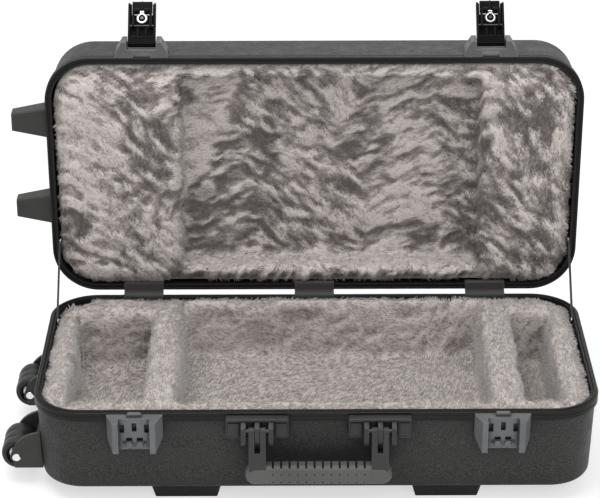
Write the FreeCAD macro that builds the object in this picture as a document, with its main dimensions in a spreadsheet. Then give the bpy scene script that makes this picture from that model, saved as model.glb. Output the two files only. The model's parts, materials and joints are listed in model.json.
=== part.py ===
import FreeCAD, Part
import math
import os
import types

import Sketcher

# A moulded hard case with a hinged lid, two key-locking trigger latches, a swinging carry handle,
# two wheels on its left end and a plush-covered foam lining.
#
# Every piece is drawn in the case's own frame: X along the case with 0 at its middle, Y = 0 on the
# hinge axis with the front of the case at negative Y, and Z = 0 on the parting plane. Pieces of the
# lid are drawn with the lid shut, and their placement then turns them open about the hinge axis.

Vector = FreeCAD.Vector
document = FreeCAD.newDocument("hard_case")

# Driving sizes, in millimetres and degrees
SIZES = {
    # Whole case
    "case_width": "728",
    "case_depth": "344",
    "rim_radius": "63",
    "base_depth": "116",
    "lid_depth": "94",
    "lid_open_angle": "90",
    "fittings_offset": "2.5",
    "parting_gap": "0.5",
    # Clearances: seat_gap between fixed pieces, pin_gap round a turning pin. A cut passes a face by
    # overcut, and an added feature starts inside its parent by join.
    "seat_gap": "0.3",
    "pin_gap": "0.05",
    "edge_round": "1",
    "overcut": "1",
    "join": "1",
    # Moulded shells
    "shell_wall": "3.2",
    "shell_inset": "3",
    "shell_draft": "2",
    "base_edge_radius": "10",
    "lid_edge_radius": "12",
    # Rim extrusions
    "valance_height": "12.3",
    "valance_cap": "2.75",
    "valance_width": "9",
    "valance_leg": "9",
    "bead_depth": "0.9",
    "tongue_inset": "3.4",
    "tongue_width": "2.8",
    "tongue_height": "1.4",
    "tongue_slope": "0.4",
    # Lining of the base
    "lining_inset": "12",
    "lining_drop": "1",
    "pocket_depth": "90",
    "floor_pad_inset": "18",
    "left_pad": "26",
    "right_pad": "32",
    "front_pad": "18",
    "back_pad": "10",
    "rear_block": "44",
    "left_pocket": "105",
    "right_pocket": "54",
    "divider": "37",
    "pad_round": "5",
    "pad_round_share": "0.4",
    # Lining of the lid
    "lid_pocket_depth": "52",
    "lid_panel_inset": "22",
    "lid_sill": "21",
    # Latch housing on the lid
    "latch_inset": "130.5",
    "lever_tilt": "42",
    "housing_width": "71.5",
    "housing_nose_width": "52",
    "housing_reach": "22.5",
    "housing_length": "24",
    "housing_shoulder": "6",
    "housing_round": "18",
    "housing_bar": "2.6",
    "housing_bar_reach": "11.3",
    "housing_back": "3",
    "latch_gap": "39.5",
    "notch_width": "22",
    "notch_reach": "8.6",
    "lever_pin_radius": "2",
    "lever_pin_reach": "17",
    "lever_pin_height": "13.5",
    # Latch lever
    "lever_width": "37",
    "lever_length": "57",
    "lever_barrel": "5.2",
    "lever_front": "6.5",
    "lever_plate": "2.5",
    "lever_skirt": "4.1",
    "lever_wall": "2.5",
    "lever_rib": "1.6",
    "lever_rib_offset": "5.5",
    "rib_gap": "2",
    "rib_setback": "1",
    # Latch trigger and lock
    "trigger_pin_along": "23.5",
    "trigger_pin_drop": "1.4",
    "trigger_pin_radius": "1.2",
    "trigger_barrel": "2.5",
    "trigger_plate_start": "43",
    "trigger_plate_end": "60.5",
    "trigger_plate_width": "27",
    "trigger_plate": "2.8",
    "trigger_arm": "3",
    "arm_drop": "1",
    "pin_setback": "0.5",
    "trigger_gap": "0.5",
    "trigger_swing_gap": "1.8",
    "prong_width": "6.5",
    "prong_thickness": "3.6",
    "prong_reach": "8",
    "prong_offset": "3.5",
    "prong_chamfer": "1",
    "lock_along": "34",
    "lock_radius": "7.5",
    "key_slot": "1.6",
    "key_slot_floor": "1",
    "cam_width": "5",
    "cam_length": "9.5",
    "cam_thickness": "1.5",
    # Latch keeper on the base
    "keeper_width": "71",
    "keeper_nose_width": "54",
    "keeper_reach": "25",
    "keeper_flank": "3",
    "keeper_top": "2",
    "keeper_bottom": "45.5",
    "keeper_corner": "12",
    "keeper_channel": "40",
    "keeper_back": "12.4",
    "keeper_tongue_width": "20",
    "keeper_tongue_top": "1.9",
    "keeper_tongue_reach": "6.5",
    "catch_height": "4.8",
    "catch_depth": "4.6",
    "prong_side_gap": "0.8",
    "slot_drop": "8",
    "slot_side": "1.2",
    "slot_width": "6.2",
    "slot_height": "12",
    "slot_depth": "6",
    "slot_stagger": "2",
    "block_height": "7",
    "block_reach": "2.4",
    "block_drop": "1",
    "block_chamfer": "2",
    "keeper_tongue_start": "1",
    "screw_offset": "13",
    "screw_drop": "6",
    "screw_radius": "2.4",
    "screw_head": "1",
    "screw_slot": "1",
    "screw_slot_share": "0.7",
    # Carry handle
    "bracket_spacing": "156",
    "bracket_width": "80",
    "bracket_top": "4",
    "bracket_bottom": "34",
    "bracket_round": "5",
    "bracket_plate": "6",
    "bracket_ledge": "11",
    "ledge_height": "4",
    "ledge_round": "1.8",
    "wing_margin": "3",
    "wing_width": "14",
    "wing_height": "1.6",
    "wing_drop": "8",
    "ear_width": "6",
    "ear_spacing": "17.5",
    "ear_reach": "20",
    "ear_low": "38",
    "ear_slope": "5",
    "handle_pin_reach": "14",
    "handle_pin_depth": "19",
    "handle_pin_radius": "2.5",
    "arm_width": "21.6",
    "arm_thickness": "10",
    "arm_fork": "7.4",
    "arm_fork_length": "27",
    "arm_flush": "0.3",
    "apron_start": "4",
    "apron_depth": "7",
    "grip_length": "187",
    "grip_height": "27",
    "grip_thickness": "20",
    "grip_drop": "44",
    "handle_reach": "30",
    "grip_core": "10",
    "grip_corner": "13",
    "grip_round": "6",
    "groove_count": "12",
    "groove_pitch": "10.6",
    "groove_width": "2.6",
    "groove_depth": "2.4",
    "dot_radius": "0.9",
    "dot_depth": "1.5",
    "dot_row": "11",
    "dot_row_pitch": "11.2",
    # Wheels on the left end
    "stand_reach": "48.5",
    "wheel_radius": "21",
    "wheel_width": "52",
    "wheel_height": "42",
    "wheel_spacing": "169.5",
    "tyre_thickness": "6.5",
    "tread_depth": "2.4",
    "hub_recess": "1.5",
    "hub_dish": "3",
    "hub_rim": "2.5",
    "hub_boss_margin": "1",
    "axle_radius": "3",
    "bolt_head_radius": "5.5",
    "bolt_head": "2.5",
    "bolt_chamfer": "1",
    "cheek": "5",
    "cheek_gap": "1.5",
    "cheek_round": "8.5",
    "cheek_nose": "7",
    "cheek_sweep": "43",
    "cheek_heel": "3",
    "housing_top": "36",
    "housing_drop": "16",
    "wheel_house_back": "4",
    # Feet
    "foot_length": "92",
    "foot_depth": "46",
    "foot_height": "21.5",
    "foot_taper": "16",
    "foot_inset": "195",
    "foot_setback": "18",
    "foot_corner": "3",
    "stand_foot_root": "43.5",
    "stand_foot_tip": "25.5",
    "stand_foot_root_depth": "31",
    "stand_foot_tip_depth": "23",
    "stand_foot_rise": "13",
    "stand_foot_near": "122.5",
    "stand_foot_far": "250",
    # Hinges
    "hinge_offset": "4.5",
    "hinge_inset": "125",
    "hinge_width": "50",
    "leaf_thickness": "1.4",
    "leaf_height": "42",
    "leaf_step": "5",
    "knuckle_radius": "3.4",
    "hinge_pin_radius": "1.6",
    # Webbing
    "flap_width": "55",
    "webbing": "1.2",
    "flap_tuck": "8",
    "flap_inset": "11",
    "flap_lift": "0.4",
    "stay_anchor": "78",
    "stay_depth": "5",
    "stay_width": "16",
    "rivet_radius": "4",
    "rivet_head": "0.9",
}


class Size:
    """A number that remembers the sheet expression it is worked out from."""

    def __init__(self, value, text):
        self.value = value
        self.text = text

    def __add__(self, other):
        other = as_size(other)
        return Size(self.value + other.value, f"({self.text} + {other.text})")

    def __sub__(self, other):
        other = as_size(other)
        return Size(self.value - other.value, f"({self.text} - {other.text})")

    def __mul__(self, other):
        other = as_size(other)
        return Size(self.value * other.value, f"({self.text} * {other.text})")

    def __truediv__(self, other):
        other = as_size(other)
        return Size(self.value / other.value, f"({self.text} / {other.text})")

    def __neg__(self):
        return Size(-self.value, f"(0 - {self.text})")

    def __radd__(self, other):
        return as_size(other) + self

    def __rsub__(self, other):
        return as_size(other) - self

    def __rmul__(self, other):
        return as_size(other) * self


def as_size(number):
    """Give a plain number the same form as a size."""
    if isinstance(number, Size):
        return number
    return Size(float(number), f"{float(number):.6f}")


def tangent(angle):
    """The tangent of an angle in degrees."""
    return Size(math.tan(math.radians(angle.value)), f"tan({angle.text} * 1 deg)")


def sine(angle):
    """The sine of an angle in degrees."""
    return Size(math.sin(math.radians(angle.value)), f"sin({angle.text} * 1 deg)")


def cosine(angle):
    """The cosine of an angle in degrees."""
    return Size(math.cos(math.radians(angle.value)), f"cos({angle.text} * 1 deg)")


def make_sheet():
    """Write the driving sizes to the sheet and hand them back by name."""
    sheet = document.addObject("Spreadsheet::Sheet", "Sizes")
    for row, (name, text) in enumerate(SIZES.items(), start=1):
        sheet.set(f"A{row}", name)
        sheet.set(f"B{row}", text)
        sheet.setAlias(f"B{row}", name)
    document.recompute()
    return types.SimpleNamespace(
        **{name: Size(float(text), f"Sizes.{name}") for name, text in SIZES.items()}
    )


s = make_sheet()

# Places that many pieces share
half_gap = s.parting_gap / 2
rim_back = -s.hinge_offset
rim_front = -s.hinge_offset - s.case_depth
half_width = s.case_width / 2
mid_depth = -s.hinge_offset - s.case_depth / 2
shell_edge = half_gap + s.valance_cap
draft = tangent(s.shell_draft)
latch_half = half_width - s.latch_inset
hinge_half = half_width - s.hinge_inset
foot_half = half_width - s.foot_inset
diagonal = math.sqrt(0.5)
axis_height = s.base_depth + s.foot_height
axis_x = s.stand_reach / 2
axis_y = (s.case_depth + s.hinge_offset + s.handle_reach - s.lid_depth) / 2


def wall_inset(height):
    """How far the shell's outer wall lies inside the rim at a height measured from the parting plane."""
    return s.shell_inset + (height - shell_edge) * draft


# Drawing helpers
def turns(start, end, count):
    """Evenly spaced angles in radians from start to end, for a curve drawn as count short lines."""
    return [math.radians(start + (end - start) * index / count) for index in range(count + 1)]


def bind(thing, path, size):
    """Tie one property to the sheet."""
    thing.setExpression(path, as_size(size).text)


def origin_plane(body, role):
    return next(feature for feature in body.Origin.OriginFeatures if feature.Role == role)


def new_body(name):
    return document.addObject("PartDesign::Body", name)


def new_sketch(body, role, offset=None):
    """A sketch on one of the body's own planes, moved along its normal by offset."""
    sketch = body.newObject("Sketcher::SketchObject", body.Name + "_sketch")
    sketch.AttachmentSupport = [(origin_plane(body, role), "")]
    sketch.MapMode = "FlatFace"
    if offset is not None:
        bind(sketch, "AttachmentOffset.Base.z", offset)
    return sketch


def pin_point(sketch, geometry, position, point):
    """Hold one point of a sketch at sizes measured from the sketch's origin."""
    for kind, size in zip(("DistanceX", "DistanceY"), point):
        size = as_size(size)
        index = sketch.addConstraint(
            Sketcher.Constraint(kind, -1, 1, geometry, position, size.value)
        )
        sketch.setExpression(f"Constraints[{index}]", size.text)


def draw_polygon(sketch, points):
    """A closed outline of straight lines through points."""
    values = [Vector(as_size(x).value, as_size(y).value, 0) for x, y in points]
    first = sketch.GeometryCount
    count = len(points)
    for index in range(count):
        line = Part.LineSegment(values[index], values[(index + 1) % count])
        sketch.addGeometry(line, False)
    for index in range(count):
        after = first + (index + 1) % count
        sketch.addConstraint(Sketcher.Constraint("Coincident", first + index, 2, after, 1))
    for index in range(count):
        pin_point(sketch, first + index, 1, points[index])


def draw_box(sketch, low, high):
    """A rectangle between two corners."""
    draw_polygon(sketch, [low, (high[0], low[1]), high, (low[0], high[1])])


def draw_circle(sketch, centre, radius):
    """A circle with a sheet-driven centre and radius."""
    radius = as_size(radius)
    middle = Vector(as_size(centre[0]).value, as_size(centre[1]).value, 0)
    circle = sketch.addGeometry(Part.Circle(middle, Vector(0, 0, 1), radius.value), False)
    pin_point(sketch, circle, 3, centre)
    index = sketch.addConstraint(Sketcher.Constraint("Radius", circle, radius.value))
    sketch.setExpression(f"Constraints[{index}]", radius.text)


def draw_round_box(sketch, low, high, radius):
    """A rectangle with rounded corners, drawn as four lines and four arcs."""
    radius = as_size(radius)
    left, bottom, right, top = (as_size(size) for size in (*low, *high))
    corners = [
        (left + radius, bottom + radius, 180),
        (right - radius, bottom + radius, 270),
        (right - radius, top - radius, 0),
        (left + radius, top - radius, 90),
    ]
    ends = []
    for x, y, start in corners:
        circle = Part.Circle(Vector(x.value, y.value, 0), Vector(0, 0, 1), radius.value)
        turn = (math.radians(start), math.radians(start + 90))
        arc = sketch.addGeometry(Part.ArcOfCircle(circle, *turn), False)
        pin_point(sketch, arc, 3, (x, y))
        index = sketch.addConstraint(Sketcher.Constraint("Radius", arc, radius.value))
        sketch.setExpression(f"Constraints[{index}]", radius.text)
        ends.append(arc)
    for index, arc in enumerate(ends):
        after = ends[(index + 1) % 4]
        start = sketch.getPoint(arc, 2)
        finish = sketch.getPoint(after, 1)
        line = sketch.addGeometry(Part.LineSegment(start, finish), False)
        sketch.addConstraint(Sketcher.Constraint("Tangent", arc, 2, line, 1))
        sketch.addConstraint(Sketcher.Constraint("Tangent", line, 2, after, 1))


def pad(body, sketch, length, reverse=False, midplane=False, taper=None):
    """Add material along the sketch's normal."""
    feature = body.newObject("PartDesign::Pad", body.Name + "_pad")
    feature.Profile = sketch
    bind(feature, "Length", length)
    feature.Reversed = reverse
    feature.Midplane = midplane
    if taper is not None:
        bind(feature, "TaperAngle", taper)
    document.recompute()
    return feature


def pocket(body, sketch, length=None, reverse=False, midplane=False, taper=None):
    """Cut material away, through everything where no length is given."""
    before = body.Shape.Volume
    feature = body.newObject("PartDesign::Pocket", body.Name + "_pocket")
    feature.Profile = sketch
    if length is None:
        feature.Type = "ThroughAll"
    else:
        bind(feature, "Length", length)
    feature.Reversed = reverse
    feature.Midplane = midplane
    if taper is not None:
        bind(feature, "TaperAngle", taper)
    document.recompute()
    if body.Shape.Volume >= before:
        raise RuntimeError(f"{body.Name}: a pocket cut nothing")
    return feature


def revolve(body, sketch):
    """Turn a sketch once round its own horizontal axis."""
    feature = body.newObject("PartDesign::Revolution", body.Name + "_turned")
    feature.Profile = sketch
    feature.ReferenceAxis = (sketch, ["H_Axis"])
    feature.Angle = 360
    document.recompute()
    return feature


def dress(body, kind, size, chosen):
    """Round or chamfer the edges of the body that chosen accepts."""
    base = body.Tip
    names = [
        f"Edge{number}" for number, edge in enumerate(base.Shape.Edges, start=1) if chosen(edge)
    ]
    if not names:
        raise RuntimeError(f"{body.Name}: no edge to dress")
    feature = body.newObject("PartDesign::" + kind, body.Name + "_edges")
    feature.Base = (base, names)
    bind(feature, "Radius" if kind == "Fillet" else "Size", size)
    document.recompute()
    return feature


def level(edge, axis, size):
    """Does the whole edge lie at one place along an axis?"""
    box = edge.BoundBox
    low, high = getattr(box, axis + "Min"), getattr(box, axis + "Max")
    value = as_size(size).value
    return abs(low - value) < 0.01 and abs(high - value) < 0.01


def along(edge, axis):
    """Is the edge a straight line along an axis?"""
    if edge.Curve.TypeId != "Part::GeomLine":
        return False
    return abs(getattr(edge.tangentAt(edge.FirstParameter), axis.lower())) > 0.999


def reach(distance):
    """The Y of a point that stands out from the front of the rim by a distance."""
    return rim_front - distance


def seat_on_wall(body, start, end, width, side, middle=0):
    """Fill in behind a front fitting, from the rim's face back to the shell's drafted wall."""
    sketch = new_sketch(body, "YZ_Plane", middle)
    draw_polygon(
        sketch,
        [
            (reach(0), side * start),
            (reach(0), side * end),
            (reach(s.seat_gap - wall_inset(end)), side * end),
            (reach(s.seat_gap - wall_inset(start)), side * start),
        ],
    )
    pad(body, sketch, width, midplane=True)


# Placing and collecting the finished pieces
pieces = []


def opened(point, angle):
    """Where a point of the closed side view goes when it turns open about the hinge axis."""
    y, z = point
    return (y * cosine(angle) + z * sine(angle), z * cosine(angle) - y * sine(angle))


def place(thing, label, x=0, y=0, z=0, on_lid=False, kept=True, angle=s.lid_open_angle):
    """Name a piece and put it in the assembly, turned open with the lid where it is on the lid."""
    thing.Label = label
    if on_lid:
        turn = FreeCAD.Rotation(Vector(-1, 0, 0), angle.value)
        thing.Placement = FreeCAD.Placement(Vector(0, 0, 0), turn)
        bind(thing, "Placement.Rotation.Angle", angle)
    bind(thing, "Placement.Base.x", axis_x + x)
    bind(thing, "Placement.Base.y", axis_y + y)
    bind(thing, "Placement.Base.z", axis_height + z)
    if kept:
        pieces.append(thing)
    return thing


def group(label, members):
    """One node of several alike solids."""
    compound = document.addObject("Part::Compound", label)
    compound.Links = members
    compound.Label = label
    pieces.append(compound)
    return compound


# Shells of the base and the lid
def make_block(name, inset, depth, edge_radius, side):
    """A drafted block with rounded corners that starts at the shell's edge and has a rounded far edge."""
    body = new_body(name)
    sketch = new_sketch(body, "XY_Plane", side * shell_edge)
    draw_round_box(
        sketch,
        (inset - half_width, rim_front + inset),
        (half_width - inset, rim_back - inset),
        s.rim_radius - inset,
    )
    pad(body, sketch, depth - shell_edge, reverse=side < 0, taper=-s.shell_draft)
    dress(body, "Fillet", edge_radius, lambda edge: level(edge, "Z", side * depth))
    return body


def cut(name, base, tool):
    """One solid less another."""
    result = document.addObject("Part::Cut", name)
    result.Base = base
    result.Tool = tool
    document.recompute()
    if result.Shape.Volume >= base.Shape.Volume:
        raise RuntimeError(f"{name}: the cut took nothing away")
    return result


def make_shell(name, depth, edge_radius, on_lid):
    """A drafted tray with rounded corners and a rounded far edge, open at the rim."""
    side = 1 if on_lid else -1
    outer = make_block(name + "_outside", s.shell_inset, depth, edge_radius, side)
    inner = make_block(
        name + "_inside",
        s.shell_inset + s.shell_wall,
        depth - s.shell_wall,
        edge_radius - s.shell_wall,
        side,
    )
    return place(cut(name, outer, inner), name, on_lid=on_lid)


# Rim extrusions, swept round the opening
def make_valance(name, on_lid):
    """A rim extrusion that grips the shell's edge. The base's has a tongue, the lid's its groove."""
    side = 1 if on_lid else -1
    body = new_body(name)
    path = new_sketch(body, "XY_Plane")
    draw_round_box(path, (-half_width, rim_front), (half_width, rim_back), s.rim_radius)
    section = new_sketch(body, "YZ_Plane", s.rim_radius - half_width)
    lip = s.shell_inset - s.seat_gap
    slot = wall_inset(s.valance_leg) + s.shell_wall + s.seat_gap
    crest = s.tongue_height + s.seat_gap if on_lid else -s.tongue_height
    spread = s.seat_gap if on_lid else as_size(0)
    near = s.tongue_inset - spread
    far = s.tongue_inset + s.tongue_width + spread
    bead = s.valance_height / 2
    points = [
        (s.bead_depth, half_gap),
        (near, half_gap),
        (near + s.tongue_slope, crest),
        (far - s.tongue_slope, crest),
        (far, half_gap),
        (s.valance_width, half_gap),
        (s.valance_width, s.valance_leg),
        (slot, s.valance_leg),
        (slot, shell_edge),
        (lip, shell_edge),
        (lip, s.valance_height),
        (0, s.valance_height),
        (0, bead + s.bead_depth),
        (s.bead_depth, bead),
        (0, bead - s.bead_depth),
        (0, half_gap + s.bead_depth),
    ]
    draw_polygon(section, [(rim_back - inward, side * height) for inward, height in points])
    sweep = body.newObject("PartDesign::AdditivePipe", name + "_sweep")
    sweep.Profile = section
    sweep.Spine = (path, [])
    document.recompute()
    return place(body, name, on_lid=on_lid)


# Plush-covered foam lining
def make_mould(name, low, high):
    """The space inside the rim that the lining fills, with the rim's rounded corners."""
    body = new_body(name)
    sketch = new_sketch(body, "XY_Plane", low)
    draw_round_box(
        sketch,
        (s.lining_inset - half_width, rim_front + s.lining_inset),
        (half_width - s.lining_inset, rim_back - s.lining_inset),
        s.rim_radius - s.lining_inset,
    )
    pad(body, sketch, high - low)
    return body


def make_brick(name, low, high):
    """A plain block between two corners."""
    brick = document.addObject("Part::Box", name)
    for side, axis, start, end in zip(("Length", "Width", "Height"), "xyz", low, high):
        bind(brick, side, as_size(end) - start)
        bind(brick, f"Placement.Base.{axis}", start)
    document.recompute()
    return brick


def make_pad(name, low, high, mould, face, rounded, on_lid=False):
    """A foam block trimmed to the rim's corners. Rounded lists the sides of its open face to soften."""
    block = make_brick(name + "_block", low, high)
    if mould is not None:
        common = document.addObject("Part::Common", name + "_trimmed")
        common.Base = block
        common.Tool = mould
        document.recompute()
        block = common
    soft = document.addObject("Part::Fillet", name)
    soft.Base = block
    thinnest = min(as_size(end).value - as_size(start).value for start, end in zip(low, high))
    radius = min(s.pad_round.value, s.pad_round_share.value * thinnest)
    soft.Edges = [
        (number, radius, radius)
        for number, edge in enumerate(block.Shape.Edges, start=1)
        if level(edge, "Z", face) and any(level(edge, axis, size) for axis, size in rounded)
    ]
    document.recompute()
    return place(soft, name, on_lid=on_lid)


def make_floor_pad(name, inset, start, end, on_lid):
    """The flat pad on the far wall of a shell, inside that wall's rounded edge."""
    body = new_body(name)
    sketch = new_sketch(body, "XY_Plane", start)
    draw_round_box(
        sketch,
        (inset - half_width, rim_front + inset),
        (half_width - inset, rim_back - inset),
        s.rim_radius - inset,
    )
    pad(body, sketch, end - start)
    return place(body, name, on_lid=on_lid)


def make_base_lining():
    """Floor, four walls, two dividers and two rear blocks, which leave three open pockets."""
    top = -s.lining_drop
    floor = -s.pocket_depth
    outer_left = s.lining_inset - half_width
    outer_right = half_width - s.lining_inset
    outer_back = rim_back - s.lining_inset
    outer_front = rim_front + s.lining_inset
    left = outer_left + s.left_pad
    divider_left = left + s.left_pocket
    middle = divider_left + s.divider
    end = outer_right - s.right_pad
    right = end - s.right_pocket
    divider_right = right - s.divider
    front = outer_front + s.front_pad
    back = outer_back - s.back_pad
    block = outer_back - s.rear_block
    mould = make_mould("base_lining_mould", floor, top)
    make_floor_pad("lining_floor", s.floor_pad_inset, s.shell_wall - s.base_depth, floor, False)
    walls = {
        "lining_left": ((outer_left, outer_front, floor), (left, outer_back, top), ("X", left)),
        "lining_right": ((end, outer_front, floor), (outer_right, outer_back, top), ("X", end)),
        "lining_front": ((left, outer_front, floor), (end, front, top), ("Y", front)),
        "lining_back": ((left, back, floor), (end, outer_back, top), ("Y", back)),
    }
    for name, (low, high, inner) in walls.items():
        make_pad(name, low, high, mould, top, [inner])
    for name, start, finish in (
        ("divider_left", divider_left, middle),
        ("divider_right", divider_right, right),
    ):
        sides = [("X", start), ("X", finish)]
        make_pad(name, (start, front, floor), (finish, back, top), None, top, sides)
    for name, start, finish in (
        ("rear_block_left", left, divider_left),
        ("rear_block_right", right, end),
    ):
        make_pad(name, (start, block, floor), (finish, back, top), None, top, [("Y", block)])


def make_lid_lining():
    """A thick panel with two side blocks and two sills, which leave one pocket over the middle one."""
    rim = s.lining_drop
    depth = s.lid_pocket_depth
    outer_left = s.lining_inset - half_width
    outer_right = half_width - s.lining_inset
    outer_back = rim_back - s.lining_inset
    outer_front = rim_front + s.lining_inset
    left = outer_left + s.left_pad + s.left_pocket + s.divider
    right = outer_right - s.right_pad - s.right_pocket - s.divider
    mould = make_mould("lid_lining_mould", rim, depth)
    make_floor_pad("lid_lining_panel", s.lid_panel_inset, depth, s.lid_depth - s.shell_wall, True)
    front = outer_front + s.front_pad
    back = outer_back - s.lid_sill
    walls = {
        "lid_lining_left": ((outer_left, outer_front, rim), (left, outer_back, depth), ("X", left)),
        "lid_lining_right": ((right, outer_front, rim), (outer_right, outer_back, depth), ("X", right)),
        "lid_lining_front": ((left, outer_front, rim), (right, front, depth), ("Y", front)),
        "lid_lining_rear": ((left, back, rim), (right, outer_back, depth), ("Y", back)),
    }
    for name, (low, high, inner) in walls.items():
        make_pad(name, low, high, mould, rim, [inner], on_lid=True)


# Latches
def mirrored(points):
    """An outline given by its right half, from the front to the back, with its left half added."""
    return points + [(-x, y) for x, y in reversed(points)]


def make_latch_housing(name, x):
    """The moulded housing on the lid: two curved cheeks, a bar with a notch between them, a pin hole."""
    body = new_body(name)
    bottom = half_gap + s.seat_gap
    top = s.housing_length
    wide = s.housing_width / 2
    nose = s.housing_nose_width / 2
    outline = new_sketch(body, "XY_Plane", bottom)
    half = [(nose, reach(s.housing_reach)), (wide, reach(s.housing_shoulder)), (wide, reach(0))]
    draw_polygon(outline, mirrored(half))
    pad(body, outline, top - bottom)
    shoulder = reach(s.housing_shoulder)
    dress(
        body, "Fillet", s.housing_round, lambda edge: along(edge, "Z") and level(edge, "Y", shoulder)
    )
    nose_line = reach(s.housing_reach)
    dress(body, "Fillet", s.edge_round, lambda edge: level(edge, "Y", nose_line) or level(edge, "Z", top))
    gap = s.latch_gap / 2
    opening = new_sketch(body, "XY_Plane", bottom + s.housing_bar)
    draw_box(opening, (-gap, reach(s.housing_reach + s.overcut)), (gap, reach(s.housing_back)))
    pocket(body, opening, s.housing_length, reverse=True)
    mouth = new_sketch(body, "XY_Plane", bottom)
    draw_box(mouth, (-gap, reach(s.housing_reach + s.overcut)), (gap, reach(s.housing_bar_reach)))
    pocket(body, mouth, s.housing_length, reverse=True)
    notch = new_sketch(body, "XY_Plane", bottom)
    half_notch = s.notch_width / 2
    draw_box(notch, (-half_notch, reach(s.notch_reach)), (half_notch, reach(0)))
    pocket(body, notch, s.housing_bar, reverse=True)
    hole = new_sketch(body, "YZ_Plane")
    draw_circle(hole, (reach(s.lever_pin_reach), s.lever_pin_height), s.lever_pin_radius + s.pin_gap)
    pocket(body, hole, s.housing_width, midplane=True)
    clear = s.valance_height + s.seat_gap
    seat_on_wall(body, clear, top, s.housing_width - 2 * s.edge_round, 1)
    return place(body, name, x=x, on_lid=True)


def lever_point(distance, rise):
    """A point of the straight-out lever, measured along it and square to it from its pin."""
    return (reach(s.lever_pin_reach + distance), s.lever_pin_height + rise)


def place_on_lever(thing, label, x):
    """Put a piece of a lever in the assembly: open with the lid, then leaning back about the lever's pin."""
    pin = lever_point(0, 0)
    angle = s.lid_open_angle + s.lever_tilt
    stays = opened(pin, s.lid_open_angle)
    goes = opened(pin, angle)
    y, z = (stay - go for stay, go in zip(stays, goes))
    return place(thing, label, x=x, y=y, z=z, on_lid=True, angle=angle)


def make_lever(name, x):
    """The lever: a ribbed channel with a pin barrel at its root and an open end for the trigger."""
    body = new_body(name)
    front = s.lever_front
    skirt = -s.lever_skirt
    tip = s.lever_length
    profile = new_sketch(body, "YZ_Plane")
    draw_polygon(
        profile,
        [
            lever_point(-s.lever_barrel, skirt + s.lever_wall),
            lever_point(-s.lever_barrel, front - s.lever_plate),
            lever_point(s.lever_plate - s.lever_barrel, front),
            lever_point(tip - s.lever_plate, front),
            lever_point(tip, front - s.lever_plate),
            lever_point(tip, 0),
            lever_point(tip - s.lever_skirt, skirt),
            lever_point(s.lever_wall - s.lever_barrel, skirt),
        ],
    )
    pad(body, profile, s.lever_width, midplane=True)
    inner = s.lever_width / 2 - s.lever_wall
    start = s.lever_barrel + s.lever_wall
    hollow = new_sketch(body, "XY_Plane", s.lever_pin_height + front - s.lever_plate)
    draw_box(
        hollow,
        (-inner, reach(s.lever_pin_reach + tip + s.overcut)),
        (inner, reach(s.lever_pin_reach + start)),
    )
    pocket(body, hollow, s.lever_front + s.lever_skirt)
    mouth = new_sketch(body, "XY_Plane", s.lever_pin_height + front + s.overcut)
    mouth_half = s.trigger_plate_width / 2 + s.trigger_gap
    mouth_start = reach(s.lever_pin_reach + s.trigger_plate_start - s.trigger_swing_gap)
    draw_box(mouth, (-mouth_half, reach(s.lever_pin_reach + tip + s.overcut)), (mouth_half, mouth_start))
    pocket(body, mouth, s.lever_front + s.lever_skirt)
    for side in (-1, 1):
        rib = new_sketch(body, "XY_Plane", s.lever_pin_height + front - s.lever_plate)
        middle = side * s.lever_rib_offset
        rib_end = s.trigger_pin_along - s.trigger_barrel - s.rib_gap
        draw_box(
            rib,
            (middle - s.lever_rib / 2, reach(s.lever_pin_reach + rib_end)),
            (middle + s.lever_rib / 2, reach(s.lever_pin_reach + start - s.join)),
        )
        pad(body, rib, s.lever_front + s.lever_skirt - s.lever_plate - s.rib_setback, reverse=True)
    bore = new_sketch(body, "YZ_Plane")
    draw_circle(bore, lever_point(0, 0), s.lever_pin_radius + s.pin_gap)
    draw_circle(
        bore, lever_point(s.trigger_pin_along, -s.trigger_pin_drop), s.trigger_pin_radius + s.pin_gap
    )
    pocket(body, bore, s.lever_width, midplane=True)
    lock_hole = new_sketch(body, "XY_Plane", s.lever_pin_height + front + s.overcut)
    draw_circle(lock_hole, (0, reach(s.lever_pin_reach + s.lock_along)), s.lock_radius + s.pin_gap)
    pocket(body, lock_hole, s.lever_front + s.lever_skirt)
    return place_on_lever(body, name, x)


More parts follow.
